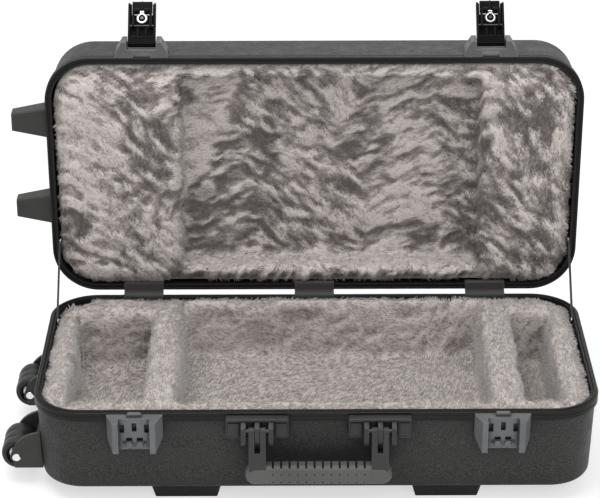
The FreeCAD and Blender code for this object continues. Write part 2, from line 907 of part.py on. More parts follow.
def make_trigger(name, x):
    """The trigger: a finger plate on two arms that turn on a pin, with two prongs for the keeper."""
    body = new_body(name)
    under = s.lever_front - s.trigger_plate
    start = s.trigger_plate_start
    plate = new_sketch(body, "YZ_Plane")
    draw_polygon(
        plate,
        [
            lever_point(start, under),
            lever_point(start, s.lever_front),
            lever_point(s.trigger_plate_end - s.trigger_plate, s.lever_front),
            lever_point(s.trigger_plate_end, under + s.trigger_plate / 2),
            lever_point(s.trigger_plate_end, under),
        ],
    )
    pad(body, plate, s.trigger_plate_width, midplane=True)
    prong_end = start + s.prong_thickness
    arm_top = s.trigger_barrel - s.trigger_pin_drop - s.arm_drop
    for side in (-1, 1):
        prong = new_sketch(body, "YZ_Plane", side * s.prong_offset)
        draw_polygon(
            prong,
            [
                lever_point(start, under + s.join),
                lever_point(prong_end, under + s.join),
                lever_point(prong_end, s.prong_chamfer - s.prong_reach),
                lever_point(prong_end - s.prong_chamfer, -s.prong_reach),
                lever_point(start, -s.prong_reach),
            ],
        )
        pad(body, prong, s.prong_width + s.trigger_arm, reverse=side < 0)
        trim = new_sketch(body, "YZ_Plane", side * (s.prong_offset + s.prong_width))
        arm_low = -s.trigger_barrel - s.trigger_pin_drop
        draw_box(
            trim,
            lever_point(prong_end + s.overcut, -s.prong_reach - s.overcut),
            lever_point(start - s.overcut, arm_low),
        )
        pocket(body, trim, s.trigger_arm + s.overcut, reverse=side > 0)
        arm = new_sketch(body, "YZ_Plane", side * (s.prong_offset + s.prong_width))
        draw_box(
            arm,
            lever_point(prong_end, arm_low),
            lever_point(s.trigger_pin_along, arm_top),
        )
        pad(body, arm, s.trigger_arm, reverse=side < 0)
        barrel = new_sketch(body, "YZ_Plane", side * (s.prong_offset + s.prong_width))
        draw_circle(barrel, lever_point(s.trigger_pin_along, -s.trigger_pin_drop), s.trigger_barrel)
        pad(body, barrel, s.trigger_arm, reverse=side < 0)
    rib = new_sketch(body, "XY_Plane", s.lever_pin_height + under + s.join)
    half_rib = s.lever_rib / 2
    draw_box(
        rib,
        (-half_rib, reach(s.lever_pin_reach + s.trigger_plate_end)),
        (half_rib, reach(s.lever_pin_reach + start)),
    )
    pad(body, rib, s.trigger_plate, reverse=True)
    bore = new_sketch(body, "YZ_Plane")
    draw_circle(
        bore, lever_point(s.trigger_pin_along, -s.trigger_pin_drop), s.trigger_pin_radius + s.pin_gap
    )
    pocket(body, bore, s.lever_width, midplane=True)
    return place_on_lever(body, name, x)


def make_lock(name, x):
    """The key lock: a turned barrel through the lever's plate, a key slot in front and a cam behind."""
    body = new_body(name)
    centre = (0, reach(s.lever_pin_reach + s.lock_along))
    back = -s.lever_skirt + s.cam_thickness + s.seat_gap
    barrel = new_sketch(body, "XY_Plane", s.lever_pin_height + back)
    draw_circle(barrel, centre, s.lock_radius)
    pad(body, barrel, s.lever_front - back)
    cam = new_sketch(body, "XY_Plane", s.lever_pin_height + back)
    half = s.cam_width / 2
    draw_box(
        cam,
        (-half, reach(s.lever_pin_reach + s.lock_along + s.cam_length)),
        (half, reach(s.lever_pin_reach + s.lock_along - half)),
    )
    pad(body, cam, s.cam_thickness, reverse=True)
    slot = new_sketch(body, "XY_Plane", s.lever_pin_height + s.lever_front)
    draw_box(
        slot,
        (-s.key_slot / 2, reach(s.lever_pin_reach + s.lock_along + s.lock_radius / 2)),
        (s.key_slot / 2, reach(s.lever_pin_reach + s.lock_along - s.lock_radius / 2)),
    )
    pocket(body, slot, s.lever_front - back - s.key_slot_floor)
    return place_on_lever(body, name, x)


def make_rod(name, radius, length, y, z):
    """A plain pin along X, centred on the case's middle and not yet in its place."""
    body = new_body(name)
    sketch = new_sketch(body, "YZ_Plane")
    draw_circle(sketch, (y, z), radius)
    pad(body, sketch, length, midplane=True)
    return body


def make_keeper(name, x):
    """The keeper on the base: a flared block with a channel for the lever and two catch holes."""
    body = new_body(name)
    wide = s.keeper_width / 2
    nose = s.keeper_nose_width / 2
    top = -s.keeper_top
    bottom = -s.keeper_bottom
    outline = new_sketch(body, "XY_Plane", top)
    half = [(nose, reach(s.keeper_reach)), (wide, reach(s.keeper_flank)), (wide, reach(0))]
    draw_polygon(outline, mirrored(half))
    pad(body, outline, s.keeper_bottom - s.keeper_top, reverse=True)
    seat_on_wall(body, s.valance_height + s.seat_gap, s.keeper_bottom, s.keeper_width, -1)
    for side in (-1, 1):
        corner = new_sketch(body, "XZ_Plane", -reach(s.keeper_reach + s.overcut))
        draw_polygon(
            corner,
            [
                (side * (wide + s.overcut), bottom - s.overcut),
                (side * (wide + s.overcut), bottom + s.keeper_corner + s.overcut),
                (side * wide, bottom + s.keeper_corner),
                (side * nose, bottom),
                (side * nose, bottom - s.overcut),
            ],
        )
        pocket(body, corner)
    dress(
        body,
        "Fillet",
        s.edge_round,
        lambda edge: level(edge, "Y", reach(s.keeper_reach)) and not level(edge, "Z", bottom),
    )
    channel = new_sketch(body, "XY_Plane", as_size(0))
    gap = s.keeper_channel / 2
    draw_box(channel, (-gap, reach(s.keeper_reach + s.overcut)), (gap, reach(s.keeper_back)))
    pocket(body, channel, s.keeper_bottom + s.overcut)
    catch_top = s.lever_pin_height - s.trigger_plate_start + (s.catch_height - s.prong_thickness) / 2
    catch_low = catch_top - s.catch_height
    recess = new_sketch(body, "XZ_Plane", -reach(s.keeper_back))
    edge_of_prong = s.prong_offset + s.prong_width
    for side in (-1, 1):
        draw_box(
            recess,
            (side * (s.prong_offset - s.prong_side_gap), catch_low),
            (side * (edge_of_prong + s.prong_side_gap), catch_top),
        )
    pocket(body, recess, s.catch_depth)
    slots = new_sketch(body, "XZ_Plane", -reach(s.keeper_back))
    slot_top = top - s.slot_drop
    slot_low = slot_top - s.slot_height
    for side in (-1, 1):
        draw_box(
            slots,
            (side * (gap - s.slot_side - s.slot_width), slot_low),
            (side * (gap - s.slot_side), slot_top),
        )
    half_slot = s.slot_width / 2
    draw_box(slots, (-half_slot, slot_low + s.slot_stagger), (half_slot, slot_top + s.slot_stagger))
    pocket(body, slots, s.slot_depth)
    block_top = catch_low - s.block_drop
    bevel = s.block_chamfer / 2
    for side in (-1, 1):
        block = new_sketch(body, "XZ_Plane", -reach(s.keeper_back))
        draw_polygon(
            block,
            [
                (side * (s.prong_offset - bevel), block_top - s.block_height),
                (side * edge_of_prong, block_top - s.block_height),
                (side * edge_of_prong, block_top),
                (side * (s.prong_offset + bevel), block_top),
                (side * (s.prong_offset - bevel), block_top - s.block_chamfer),
            ],
        )
        pad(body, block, s.block_reach)
    tongue = new_sketch(body, "XZ_Plane", -reach(s.keeper_tongue_start))
    low = s.keeper_tongue_width / 2
    slope = s.keeper_tongue_top
    draw_polygon(
        tongue,
        [(low, top), (low - slope, s.keeper_tongue_top), (slope - low, s.keeper_tongue_top), (-low, top)],
    )
    pad(body, tongue, s.keeper_tongue_reach)
    return place(body, name, x=x)


def make_keeper_screws():
    """Two countersunk-style screw heads low in each keeper's channel."""
    screws = []
    for side in (-1, 1):
        for edge in (-1, 1):
            body = new_body("keeper_screw")
            head = new_sketch(body, "XZ_Plane", -reach(s.keeper_back))
            height = s.lever_pin_height - s.trigger_plate_start - s.screw_drop
            draw_circle(head, (edge * s.screw_offset, height), s.screw_radius)
            pad(body, head, s.screw_head)
            slot = new_sketch(body, "XZ_Plane", -reach(s.keeper_back + s.screw_head))
            middle = edge * s.screw_offset
            half_slot = s.screw_radius * s.screw_slot_share
            draw_box(
                slot,
                (middle - half_slot, height - s.screw_slot / 2),
                (middle + half_slot, height + s.screw_slot / 2),
            )
            pocket(body, slot, s.screw_head / 2)
            x = side * latch_half + s.fittings_offset
            screws.append(place(body, body.Name, x=x, kept=False))
    group("keeper_screws", screws)


def make_latches():
    """Both latches: housing, lever, trigger, pins and lock on the lid, keeper on the base."""
    pins = []
    for side_name, side in (("left", -1), ("right", 1)):
        x = side * latch_half + s.fittings_offset
        make_latch_housing(f"latch_housing_{side_name}", x)
        make_lever(f"latch_lever_{side_name}", x)
        make_trigger(f"latch_trigger_{side_name}", x)
        make_lock(f"latch_lock_{side_name}", x)
        make_keeper(f"latch_keeper_{side_name}", x)
        y, z = lever_point(s.trigger_pin_along, -s.trigger_pin_drop)
        length = s.lever_width - 2 * s.pin_setback
        name = f"trigger_pin_{side_name}"
        place_on_lever(make_rod(name, s.trigger_pin_radius, length, y, z), name, x)
        y, z = lever_point(0, 0)
        length = s.housing_nose_width - 2 * s.edge_round
        name = f"lever_pin_{side_name}"
        pin = make_rod(name, s.lever_pin_radius, length, y, z)
        pins.append(place(pin, name, x=x, on_lid=True, kept=False))
    group("lever_pins", pins)
    make_keeper_screws()


# Carry handle
def ring(body, middle, y, z, radius, width):
    """A round boss along X, centred on a place along X."""
    sketch = new_sketch(body, "YZ_Plane", middle)
    draw_circle(sketch, (y, z), radius)
    pad(body, sketch, width, midplane=True)


def make_bracket(name, x):
    """A handle bracket: a plate under a bar, two raised wings and three long ears for the pin."""
    body = new_body(name)
    half = s.bracket_width / 2
    top = -s.bracket_top
    bottom = -s.bracket_bottom
    plate = new_sketch(body, "XZ_Plane", -reach(0))
    draw_round_box(plate, (-half, bottom), (half, top), s.bracket_round)
    pad(body, plate, s.bracket_plate)
    front = reach(s.bracket_plate)
    dress(body, "Fillet", s.edge_round, lambda edge: level(edge, "Y", front))
    bar = new_sketch(body, "XZ_Plane", -reach(0))
    bar_low = top - s.ledge_height
    draw_round_box(bar, (-half, bar_low), (half, top), s.ledge_round)
    pad(body, bar, s.bracket_ledge)
    bar_front = reach(s.bracket_ledge)
    dress(body, "Fillet", s.edge_round, lambda edge: level(edge, "Y", bar_front))
    for side in (-1, 1):
        wing = new_sketch(body, "XZ_Plane", -front)
        outer = half - s.wing_margin
        draw_box(
            wing,
            (side * (outer - s.wing_width), top - s.wing_drop),
            (side * outer, bottom + s.bracket_round),
        )
        pad(body, wing, s.wing_height)
    for step in (-1, 0, 1):
        middle = step * s.ear_spacing
        ear = new_sketch(body, "YZ_Plane", middle)
        draw_polygon(
            ear,
            [
                (front, bar_low),
                (reach(s.bracket_ledge - s.edge_round), bar_low),
                (reach(s.ear_reach), bar_low - s.ear_slope),
                (reach(s.ear_reach), s.ear_slope - s.ear_low),
                (reach(s.ear_reach - s.ear_slope / 2), -s.ear_low),
                (reach(s.bracket_plate + s.ear_slope / 2), -s.ear_low),
                (front, s.ear_slope - s.ear_low),
            ],
        )
        pad(body, ear, s.ear_width, midplane=True)
    hole = new_sketch(body, "YZ_Plane")
    hole_radius = s.handle_pin_radius + s.pin_gap
    draw_circle(hole, (reach(s.handle_pin_reach), -s.handle_pin_depth), hole_radius)
    pocket(body, hole, s.bracket_width, midplane=True)
    clear = s.valance_height + s.seat_gap
    seat_on_wall(body, clear, s.bracket_bottom, s.bracket_width - 2 * s.bracket_round, -1)
    return place(body, name, x=x)


def make_handle_frame(middle, arm_places):
    """Two forked arms that swell outwards from their pins, joined by a core inside the grip."""
    body = new_body("handle_frame")
    pin_y = reach(s.handle_pin_reach)
    pin_z = -s.handle_pin_depth
    core_y = reach(s.handle_reach - s.grip_thickness / 2)
    core_z = pin_z - s.grip_drop - s.grip_height / 2
    half = s.arm_thickness / 2
    half_arm = s.arm_width / 2
    half_core = s.grip_core / 2
    flush = reach(s.handle_reach - s.arm_flush)
    apron_top = pin_z - s.grip_drop - s.apron_start
    core = new_sketch(body, "YZ_Plane", middle)
    draw_box(core, (core_y - half_core, core_z - half_core), (core_y + half_core, core_z + half_core))
    pad(body, core, s.bracket_spacing + s.arm_width, midplane=True)
    for x in arm_places:
        arm = new_sketch(body, "YZ_Plane", x)
        draw_polygon(
            arm,
            [
                (pin_y - half, pin_z),
                (flush, apron_top),
                (core_y - half, core_z),
                (core_y + half, core_z),
                (pin_y + half, pin_z),
            ],
        )
        pad(body, arm, s.arm_width, midplane=True)
        apron = new_sketch(body, "XZ_Plane", -flush)
        draw_polygon(
            apron,
            [
                (x + half_arm * math.cos(turn), apron_top + s.apron_depth * math.sin(turn))
                for turn in turns(180, 360, 9)
            ],
        )
        pad(body, apron, core_y - flush, reverse=True)
        ring(body, x, pin_y, pin_z, half, s.arm_width)
        fork = new_sketch(body, "XZ_Plane", -pin_y + s.arm_thickness * 2)
        half_fork = s.arm_fork / 2
        draw_box(fork, (x - half_fork, pin_z - s.arm_fork_length), (x + half_fork, pin_z + s.arm_thickness))
        pocket(body, fork, s.arm_thickness * 4)
    hole = new_sketch(body, "YZ_Plane")
    draw_circle(hole, (pin_y, pin_z), s.handle_pin_radius + s.pin_gap)
    pocket(body, hole, s.case_width, midplane=True)
    return body


def make_grip(frame):
    """The moulded grip round the core, with finger ribs along its upper edge and two rows of dimples."""
    body = new_body("handle_grip_outside")
    middle_x = s.fittings_offset
    half = s.grip_length / 2
    top = -s.handle_pin_depth - s.grip_drop
    back = s.handle_reach - s.grip_thickness
    outline = new_sketch(body, "XZ_Plane", -reach(back))
    draw_round_box(
        outline, (middle_x - half, top - s.grip_height), (middle_x + half, top), s.grip_corner
    )
    pad(body, outline, s.grip_thickness)
    faces = (reach(back), reach(s.handle_reach))
    dress(
        body, "Fillet", s.grip_round, lambda edge: any(level(edge, "Y", face) for face in faces)
    )
    grooves = new_sketch(body, "XZ_Plane", -reach(s.handle_reach))
    count = int(s.groove_count.value)
    places = [middle_x + (index - (count - 1) / 2) * s.groove_pitch for index in range(count)]
    for middle in places:
        draw_box(
            grooves,
            (middle - s.groove_width / 2, top - s.groove_depth),
            (middle + s.groove_width / 2, top + s.overcut),
        )
    pocket(body, grooves, s.grip_thickness)
    dots = new_sketch(body, "XZ_Plane", -reach(s.handle_reach))
    for row in range(2):
        height = top - s.dot_row - row * s.dot_row_pitch
        for middle in places:
            draw_circle(dots, (middle, height), s.dot_radius)
    pocket(body, dots, s.dot_depth)
    place(body, "handle_grip_outside", kept=False)
    grip = cut("handle_grip", body, frame)
    grip.Label = "handle_grip"
    pieces.append(grip)


def make_handle():
    """Brackets and pins on the base, and the swinging frame with its grip."""
    half = s.bracket_spacing / 2
    pins = []
    for side_name, side in (("left", -1), ("right", 1)):
        x = side * half + s.fittings_offset
        make_bracket(f"handle_bracket_{side_name}", x)
        length = 2 * s.ear_spacing + s.ear_width
        pin_y = reach(s.handle_pin_reach)
        name = f"handle_pin_{side_name}"
        pin = make_rod(name, s.handle_pin_radius, length, pin_y, -s.handle_pin_depth)
        pins.append(place(pin, name, x=x, kept=False))
    group("handle_pins", pins)
    arms = (s.fittings_offset - half, s.fittings_offset + half)
    frame = place(make_handle_frame(s.fittings_offset, arms), "handle_frame")
    make_grip(frame)


# Wheels on the left end, and the feet
def turned(name, points):
    """A solid turned about Y from an outline of places along Y and radii."""
    body = new_body(name)
    section = new_sketch(body, "YZ_Plane")
    draw_polygon(section, points)
    revolve(body, section)
    return body


def both_ends(points):
    """An outline given by its half on the positive side, with its mirror image added."""
    return points + [(-y, radius) for y, radius in reversed(points)]


def make_wheel_housing(name, y):
    """Two shaped cheeks on a back plate that follows the base's drafted end wall."""
    body = new_body(name)
    centre = s.foot_height + s.base_depth - s.wheel_height
    middle_x = s.wheel_radius - half_width - s.stand_reach
    high = s.housing_top - centre
    low = -s.housing_drop - centre

    def wall(z):
        return wall_inset(-z) - half_width - s.seat_gap

    def outline(sketch):
        sweep_x = middle_x - s.cheek_nose + s.cheek_sweep
        sweep = [
            (sweep_x - s.cheek_sweep * math.cos(turn), s.housing_top * math.sin(turn) - centre)
            for turn in turns(70, 0, 7)
        ]
        heel = (middle_x - s.cheek_heel, low)
        draw_polygon(sketch, [(wall(high), high), *sweep, heel, (wall(low), low)])

    width = s.wheel_width + 2 * (s.cheek + s.cheek_gap)
    for side in (-1, 1):
        middle = side * (width - s.cheek) / 2
        cheek = new_sketch(body, "XZ_Plane", -middle)
        outline(cheek)
        pad(body, cheek, s.cheek, midplane=True)
        boss = new_sketch(body, "XZ_Plane", -middle)
        draw_circle(boss, (middle_x, -centre), s.cheek_round)
        pad(body, boss, s.cheek, midplane=True)
    back = new_sketch(body, "XZ_Plane")
    draw_polygon(
        back,
        [
            (wall(high), high),
            (wall(high) - s.wheel_house_back, high),
            (wall(low) - s.wheel_house_back, low),
            (wall(low), low),
        ],
    )
    pad(body, back, width, midplane=True)
    hole = new_sketch(body, "XZ_Plane")
    draw_circle(hole, (middle_x, -centre), s.axle_radius + s.pin_gap)
    pocket(body, hole, width, midplane=True)
    return place(body, name, y=y)


def make_wheel(position, y):
    """A tyre with three round ribs on a dished hub."""
    x = s.wheel_radius - half_width - s.stand_reach
    z = s.wheel_height - axis_height
    half = s.wheel_width / 2
    inner = s.wheel_radius - s.tyre_thickness
    rib = s.wheel_width / 6
    floor = s.wheel_radius - s.tread_depth
    crown = [
        (rib * math.cos(turn), floor + s.tread_depth * math.sin(turn)) for turn in turns(0, 180, 6)
    ]
    outer_rib = [(2 * rib + across, radius) for across, radius in crown]
    middle_rib_half = crown[1:3]
    tyre = turned(f"wheel_tyre_{position}", both_ends([(half, inner), *outer_rib, *middle_rib_half]))
    place(tyre, f"wheel_tyre_{position}", x=x, y=y, z=z)
    face = half - s.hub_recess
    web = face - s.hub_dish
    boss = s.bolt_head_radius + s.hub_boss_margin
    rim = inner - s.hub_rim
    hub = turned(
        f"wheel_hub_{position}",
        both_ends(
            [
                (face, s.axle_radius + s.pin_gap),
                (face, boss),
                (web, boss),
                (web, rim),
                (face, rim),
                (face, inner),
            ]
        ),
    )
    place(hub, f"wheel_hub_{position}", x=x, y=y, z=z)


def make_axle(name, y):
    """An axle with a round head outside each cheek."""
    end = s.wheel_width / 2 + s.cheek + s.cheek_gap
    rod = both_ends(
        [
            (end + s.bolt_head, 0),
            (end + s.bolt_head, s.bolt_head_radius - s.bolt_chamfer),
            (end + s.bolt_head - s.bolt_chamfer, s.bolt_head_radius),
            (end, s.bolt_head_radius),
            (end, s.axle_radius),
        ]
    )
    x = s.wheel_radius - half_width - s.stand_reach
    return place(turned(name, rod), name, x=x, y=y, z=s.wheel_height - axis_height, kept=False)


def make_wheels():
    """A front and a rear wheel, level with the middle of the case's depth."""
    axles = []
    for position, side in (("front", -1), ("rear", 1)):
        y = mid_depth + side * s.wheel_spacing / 2
        make_wheel_housing(f"wheel_housing_{position}", y)
        make_wheel(position, y)
        axles.append(make_axle(f"wheel_axle_{position}", y))
    group("wheel_axles", axles)


def make_feet():
    """Four tapered feet under the base and two stand feet on the lid's left wall."""
    feet = []
    for side_x in (-1, 1):
        for side_y in (-1, 1):
            body = new_body("base_foot")
            sketch = new_sketch(body, "XY_Plane", -s.base_depth)
            half_length = s.foot_length / 2
            half_depth = s.foot_depth / 2
            draw_round_box(
                sketch, (-half_length, -half_depth), (half_length, half_depth), s.foot_corner
            )
            pad(body, sketch, s.foot_height, reverse=True, taper=-s.foot_taper)
            y = mid_depth + side_y * (s.case_depth / 2 - s.foot_setback - half_depth)
            feet.append(place(body, body.Name, x=side_x * foot_half, y=y, kept=False))
    group("base_feet", feet)
    distances = (s.stand_foot_near, s.stand_foot_far)
    group("lid_stand_feet", [make_stand_foot(-distance) for distance in distances])


def make_stand_foot(middle_y):
    """A tapered foot on the lid's left wall that reaches as far out as the wheels do."""
    body = new_body("lid_stand_foot")
    start = s.stand_foot_rise
    end = start + s.stand_foot_root_depth
    root_x = wall_inset(start) - half_width - s.seat_gap
    middle_z = start + s.stand_foot_root_depth / 2
    sections = []
    for x, length, depth in (
        (root_x, s.stand_foot_root, s.stand_foot_root_depth),
        (-half_width - s.stand_reach, s.stand_foot_tip, s.stand_foot_tip_depth),
    ):
        sketch = new_sketch(body, "YZ_Plane", x)
        draw_round_box(
            sketch,
            (middle_y - length / 2, middle_z - depth / 2),
            (middle_y + length / 2, middle_z + depth / 2),
            s.foot_corner,
        )
        sections.append(sketch)
    loft = body.newObject("PartDesign::AdditiveLoft", "stand_foot_loft")
    loft.Profile = sections[0]
    loft.Sections = sections[1:]
    loft.Ruled = True
    document.recompute()
    seat = new_sketch(body, "XZ_Plane", -middle_y)
    draw_polygon(
        seat,
        [(root_x, start), (root_x, end), (wall_inset(end) - half_width - s.seat_gap, end)],
    )
    pad(body, seat, s.stand_foot_root - 2 * s.foot_corner, midplane=True)
    return place(body, body.Name, on_lid=True, kept=False)


# Hinges and webbing
def make_leaf(name, x, on_lid):
    """A hinge leaf: a plate that steps from the rim to the shell's wall, with its share of knuckles."""
    side = 1 if on_lid else -1
    body = new_body(name)
    thick = s.leaf_thickness
    top = s.knuckle_radius + s.seat_gap
    clear = s.valance_height + s.seat_gap
    step = clear + s.leaf_step

    def wall(height):
        return rim_back - wall_inset(height) + s.seat_gap

    plate = new_sketch(body, "YZ_Plane")
    points = [
        (rim_back, top),
        (rim_back + thick, top),
        (rim_back + thick, clear + thick),
        (wall(step) + thick, step + thick),
        (wall(s.leaf_height) + thick, s.leaf_height),
        (wall(s.leaf_height), s.leaf_height),
        (wall(step), step),
        (rim_back, clear),
    ]
    draw_polygon(plate, [(y, side * height) for y, height in points])
    pad(body, plate, s.hinge_width, midplane=True)
    pitch = s.hinge_width / 5
    steps = (-1, 1) if on_lid else (-2, 0, 2)
    for place_index in steps:
        middle = place_index * pitch
        width = pitch - s.seat_gap
        web = new_sketch(body, "YZ_Plane", middle)
        draw_box(
            web,
            (rim_back + s.seat_gap, side * s.seat_gap),
            (-s.hinge_pin_radius - s.seat_gap, side * (top + thick)),
        )
        pad(body, web, width, midplane=True)
        ring(body, middle, as_size(0), as_size(0), s.knuckle_radius, width)
    bore = new_sketch(body, "YZ_Plane")
    draw_circle(bore, (0, 0), s.hinge_pin_radius + s.pin_gap)
    pocket(body, bore, s.hinge_width * 2, midplane=True)
    return place(body, name, x=x, on_lid=on_lid, kept=False)


def make_hinges():
    """Three leaf hinges on the back, each on its own pin."""
    leaves = {False: [], True: []}
    pins = []
    for side_name, side in (("left", -1), ("middle", 0), ("right", 1)):
        x = side * hinge_half
        for on_lid, label in ((False, "base"), (True, "lid")):
            leaves[on_lid].append(make_leaf(f"{label}_hinge_leaf_{side_name}", x, on_lid))
        length = s.hinge_width + s.edge_round
        name = f"hinge_pin_{side_name}"
        pin = make_rod(name, s.hinge_pin_radius, length, as_size(0), as_size(0))
        pins.append(place(pin, name, x=x, kept=False))
    group("base_hinge_leaves", leaves[False])
    group("lid_hinge_leaves", leaves[True])
    group("hinge_pins", pins)


def make_flap(name, x):
    """A cloth flap over a hinge, tucked behind the lining of the base and of the open lid."""
    body = new_body(name)
    tuck = s.flap_inset - rim_back
    thick = s.webbing
    over = s.tongue_height + s.flap_lift
    face = -s.flap_lift
    bend = rim_back + s.seat_gap
    sketch = new_sketch(body, "YZ_Plane")
    draw_polygon(
        sketch,
        [
            (-tuck, -s.flap_tuck),
            (thick - tuck, -s.flap_tuck),
            (thick - tuck, over),
            (bend, over),
            (face, -bend),
            (face, tuck - thick),
            (s.flap_tuck, tuck - thick),
            (s.flap_tuck, tuck),
            (face - thick, tuck),
            (face - thick, thick / 2 - bend),
            (bend - thick / 2, over + thick),
            (-tuck, over + thick),
        ],
    )
    pad(body, sketch, s.flap_width, midplane=True)
    bends = ((-tuck, over + thick), (face - thick, tuck))

    def is_bend(edge):
        return along(edge, "X") and any(level(edge, "Y", y) and level(edge, "Z", z) for y, z in bends)

    dress(body, "Fillet", thick, is_bend)
    return place(body, name, x=x)


def make_stay(name, side):
    """A webbing stay from the base's rim to the lid's rim, drawn tight with the lid open."""
    body = new_body(name)
    start = s.valance_width + s.seat_gap
    x = side * (half_width - start)
    sketch = new_sketch(body, "YZ_Plane")
    anchor = s.stay_anchor
    depth = s.stay_depth
    across = s.stay_width / 2 * diagonal
    draw_polygon(
        sketch,
        [
            (-anchor - across, across - depth),
            (depth - across, anchor + across),
            (depth + across, anchor - across),
            (across - anchor, -across - depth),
        ],
    )
    pad(body, sketch, s.webbing, reverse=side > 0)
    return place(body, name, x=x)


def make_rivets(side, on_lid):
    """A rivet that holds one end of a stay to the rim."""
    body = new_body("stay_rivet")
    inset = s.valance_width + s.seat_gap + s.webbing
    sketch = new_sketch(body, "YZ_Plane")
    height = s.stay_depth if on_lid else -s.stay_depth
    draw_circle(sketch, (-s.stay_anchor, height), s.rivet_radius)
    pad(body, sketch, s.rivet_head, reverse=side > 0)
    return place(body, body.Name, x=side * (half_width - inset), on_lid=on_lid, kept=False)


def make_webbing():
    """Flaps over the hinges, and a stay with its rivets at each end of the case."""
    rivets = {False: [], True: []}
    for side_name, side in (("left", -1), ("middle", 0), ("right", 1)):
        make_flap(f"hinge_flap_{side_name}", side * hinge_half)
    for side_name, side in (("left", -1), ("right", 1)):
        make_stay(f"lid_stay_{side_name}", side)
        for on_lid, members in rivets.items():
            members.append(make_rivets(side, on_lid))
    group("base_stay_rivets", rivets[False])
    group("lid_stay_rivets", rivets[True])


make_shell("base_shell", s.base_depth, s.base_edge_radius, False)
make_shell("lid_shell", s.lid_depth, s.lid_edge_radius, True)
make_valance("base_valance", False)
make_valance("lid_valance", True)
make_base_lining()
make_lid_lining()
make_latches()
make_handle()
make_wheels()
make_feet()
make_hinges()
make_webbing()

# Nothing is written unless every object is sound
os.makedirs("parts", exist_ok=True)
document.recompute()
for thing in document.Objects:
    if "Invalid" in thing.State or "Error" in thing.State:
        raise RuntimeError(f"{thing.Label} failed: {thing.State}")
for piece in pieces:
    if piece.Shape.isNull() or not piece.Shape.isValid():
        raise RuntimeError(f"{piece.Label} has no sound shape")
for piece in pieces:
    piece.Shape.exportStep(f"parts/{piece.Label}.step")
    print(piece.Label, round(piece.Shape.Volume), piece.Shape.BoundBox)
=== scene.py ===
import json
import math

import bmesh
import bpy
import numpy as np
from mathutils import Matrix, Vector


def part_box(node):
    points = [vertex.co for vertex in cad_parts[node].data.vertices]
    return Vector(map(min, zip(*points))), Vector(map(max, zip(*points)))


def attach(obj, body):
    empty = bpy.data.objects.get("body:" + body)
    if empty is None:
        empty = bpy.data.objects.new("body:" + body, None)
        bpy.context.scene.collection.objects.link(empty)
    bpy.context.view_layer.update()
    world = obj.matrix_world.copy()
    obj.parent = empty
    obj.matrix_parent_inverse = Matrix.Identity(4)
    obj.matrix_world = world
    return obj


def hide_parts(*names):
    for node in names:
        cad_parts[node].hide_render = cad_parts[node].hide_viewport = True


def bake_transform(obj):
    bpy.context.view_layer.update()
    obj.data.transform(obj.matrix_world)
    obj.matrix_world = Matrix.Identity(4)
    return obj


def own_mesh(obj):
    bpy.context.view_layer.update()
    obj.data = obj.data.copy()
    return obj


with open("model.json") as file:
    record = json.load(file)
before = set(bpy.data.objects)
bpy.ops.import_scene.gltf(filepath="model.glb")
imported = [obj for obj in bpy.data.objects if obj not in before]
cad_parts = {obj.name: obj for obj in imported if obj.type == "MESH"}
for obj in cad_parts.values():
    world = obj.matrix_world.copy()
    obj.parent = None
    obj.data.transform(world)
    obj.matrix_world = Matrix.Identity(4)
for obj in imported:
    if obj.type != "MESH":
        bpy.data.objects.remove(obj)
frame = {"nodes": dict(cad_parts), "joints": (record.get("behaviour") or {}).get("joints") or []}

# The looks of a wheeled hard case with a plush lining, dressed on its CAD frame, in metres.

MM = 0.001
UP = Vector((0, 0, 1))
scene = bpy.context.scene
nodes = frame["nodes"]
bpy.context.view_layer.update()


# Camera, lights and floor
PHOTO_WIDTH = 600
PHOTO_HEIGHT = 498
PHOTO_CENTRE_Y = 330
FOCAL_PIXELS = 2227.6
SENSOR = 36
CAMERA_PLACE = Vector((-0.00175, -2.67665, 1.5031))
CAMERA_PITCH = math.radians(26.813)
CAMERA_YAW = math.radians(0.118)
CAMERA_ROLL = math.radians(-0.131)


def add_object(name, data):
    """Put new data in the scene as an object."""
    piece = bpy.data.objects.new(name, data)
    scene.collection.objects.link(piece)
    return piece


def add_camera():
    """The photograph's camera: it looks down at the open case from in front."""
    lens = bpy.data.cameras.new("camera")
    lens.sensor_width = SENSOR
    lens.lens = FOCAL_PIXELS / PHOTO_WIDTH * SENSOR
    lens.shift_y = (PHOTO_CENTRE_Y - PHOTO_HEIGHT / 2) / PHOTO_WIDTH
    flat = math.cos(CAMERA_PITCH)
    forward = Vector((math.sin(CAMERA_YAW) * flat, math.cos(CAMERA_YAW) * flat, -math.sin(CAMERA_PITCH)))
    right = forward.cross(UP).normalized()
    above = right.cross(forward)
    turn = math.cos(CAMERA_ROLL), math.sin(CAMERA_ROLL)
    across = right * turn[0] + above * turn[1]
    upward = above * turn[0] - right * turn[1]
    camera = add_object("camera", lens)
    camera.matrix_world = (
        Matrix.Translation(CAMERA_PLACE) @ Matrix((across, upward, -forward)).transposed().to_4x4()
    )
    scene.camera = camera


def add_softbox(name, place, target, size, power):
    """A large square lamp aimed at a point."""
    lamp = bpy.data.lights.new(name, "AREA")
    lamp.size = size
    lamp.energy = power
    holder = add_object(name, lamp)
    holder.location = place
    holder.rotation_euler = (Vector(target) - Vector(place)).to_track_quat("-Z", "Y").to_euler()


def seen_directly(tree):
    """A factor that is 1 for what the camera, a reflection or a clear surface looks at."""
    path = tree.nodes.new("ShaderNodeLightPath")
    total = path.outputs["Is Camera Ray"]
    for ray in ("Is Glossy Ray", "Is Transmission Ray"):
        larger = tree.nodes.new("ShaderNodeMath")
        larger.operation = "MAXIMUM"
        tree.links.new(total, larger.inputs[0])
        tree.links.new(path.outputs[ray], larger.inputs[1])
        total = larger.outputs[0]
    return total


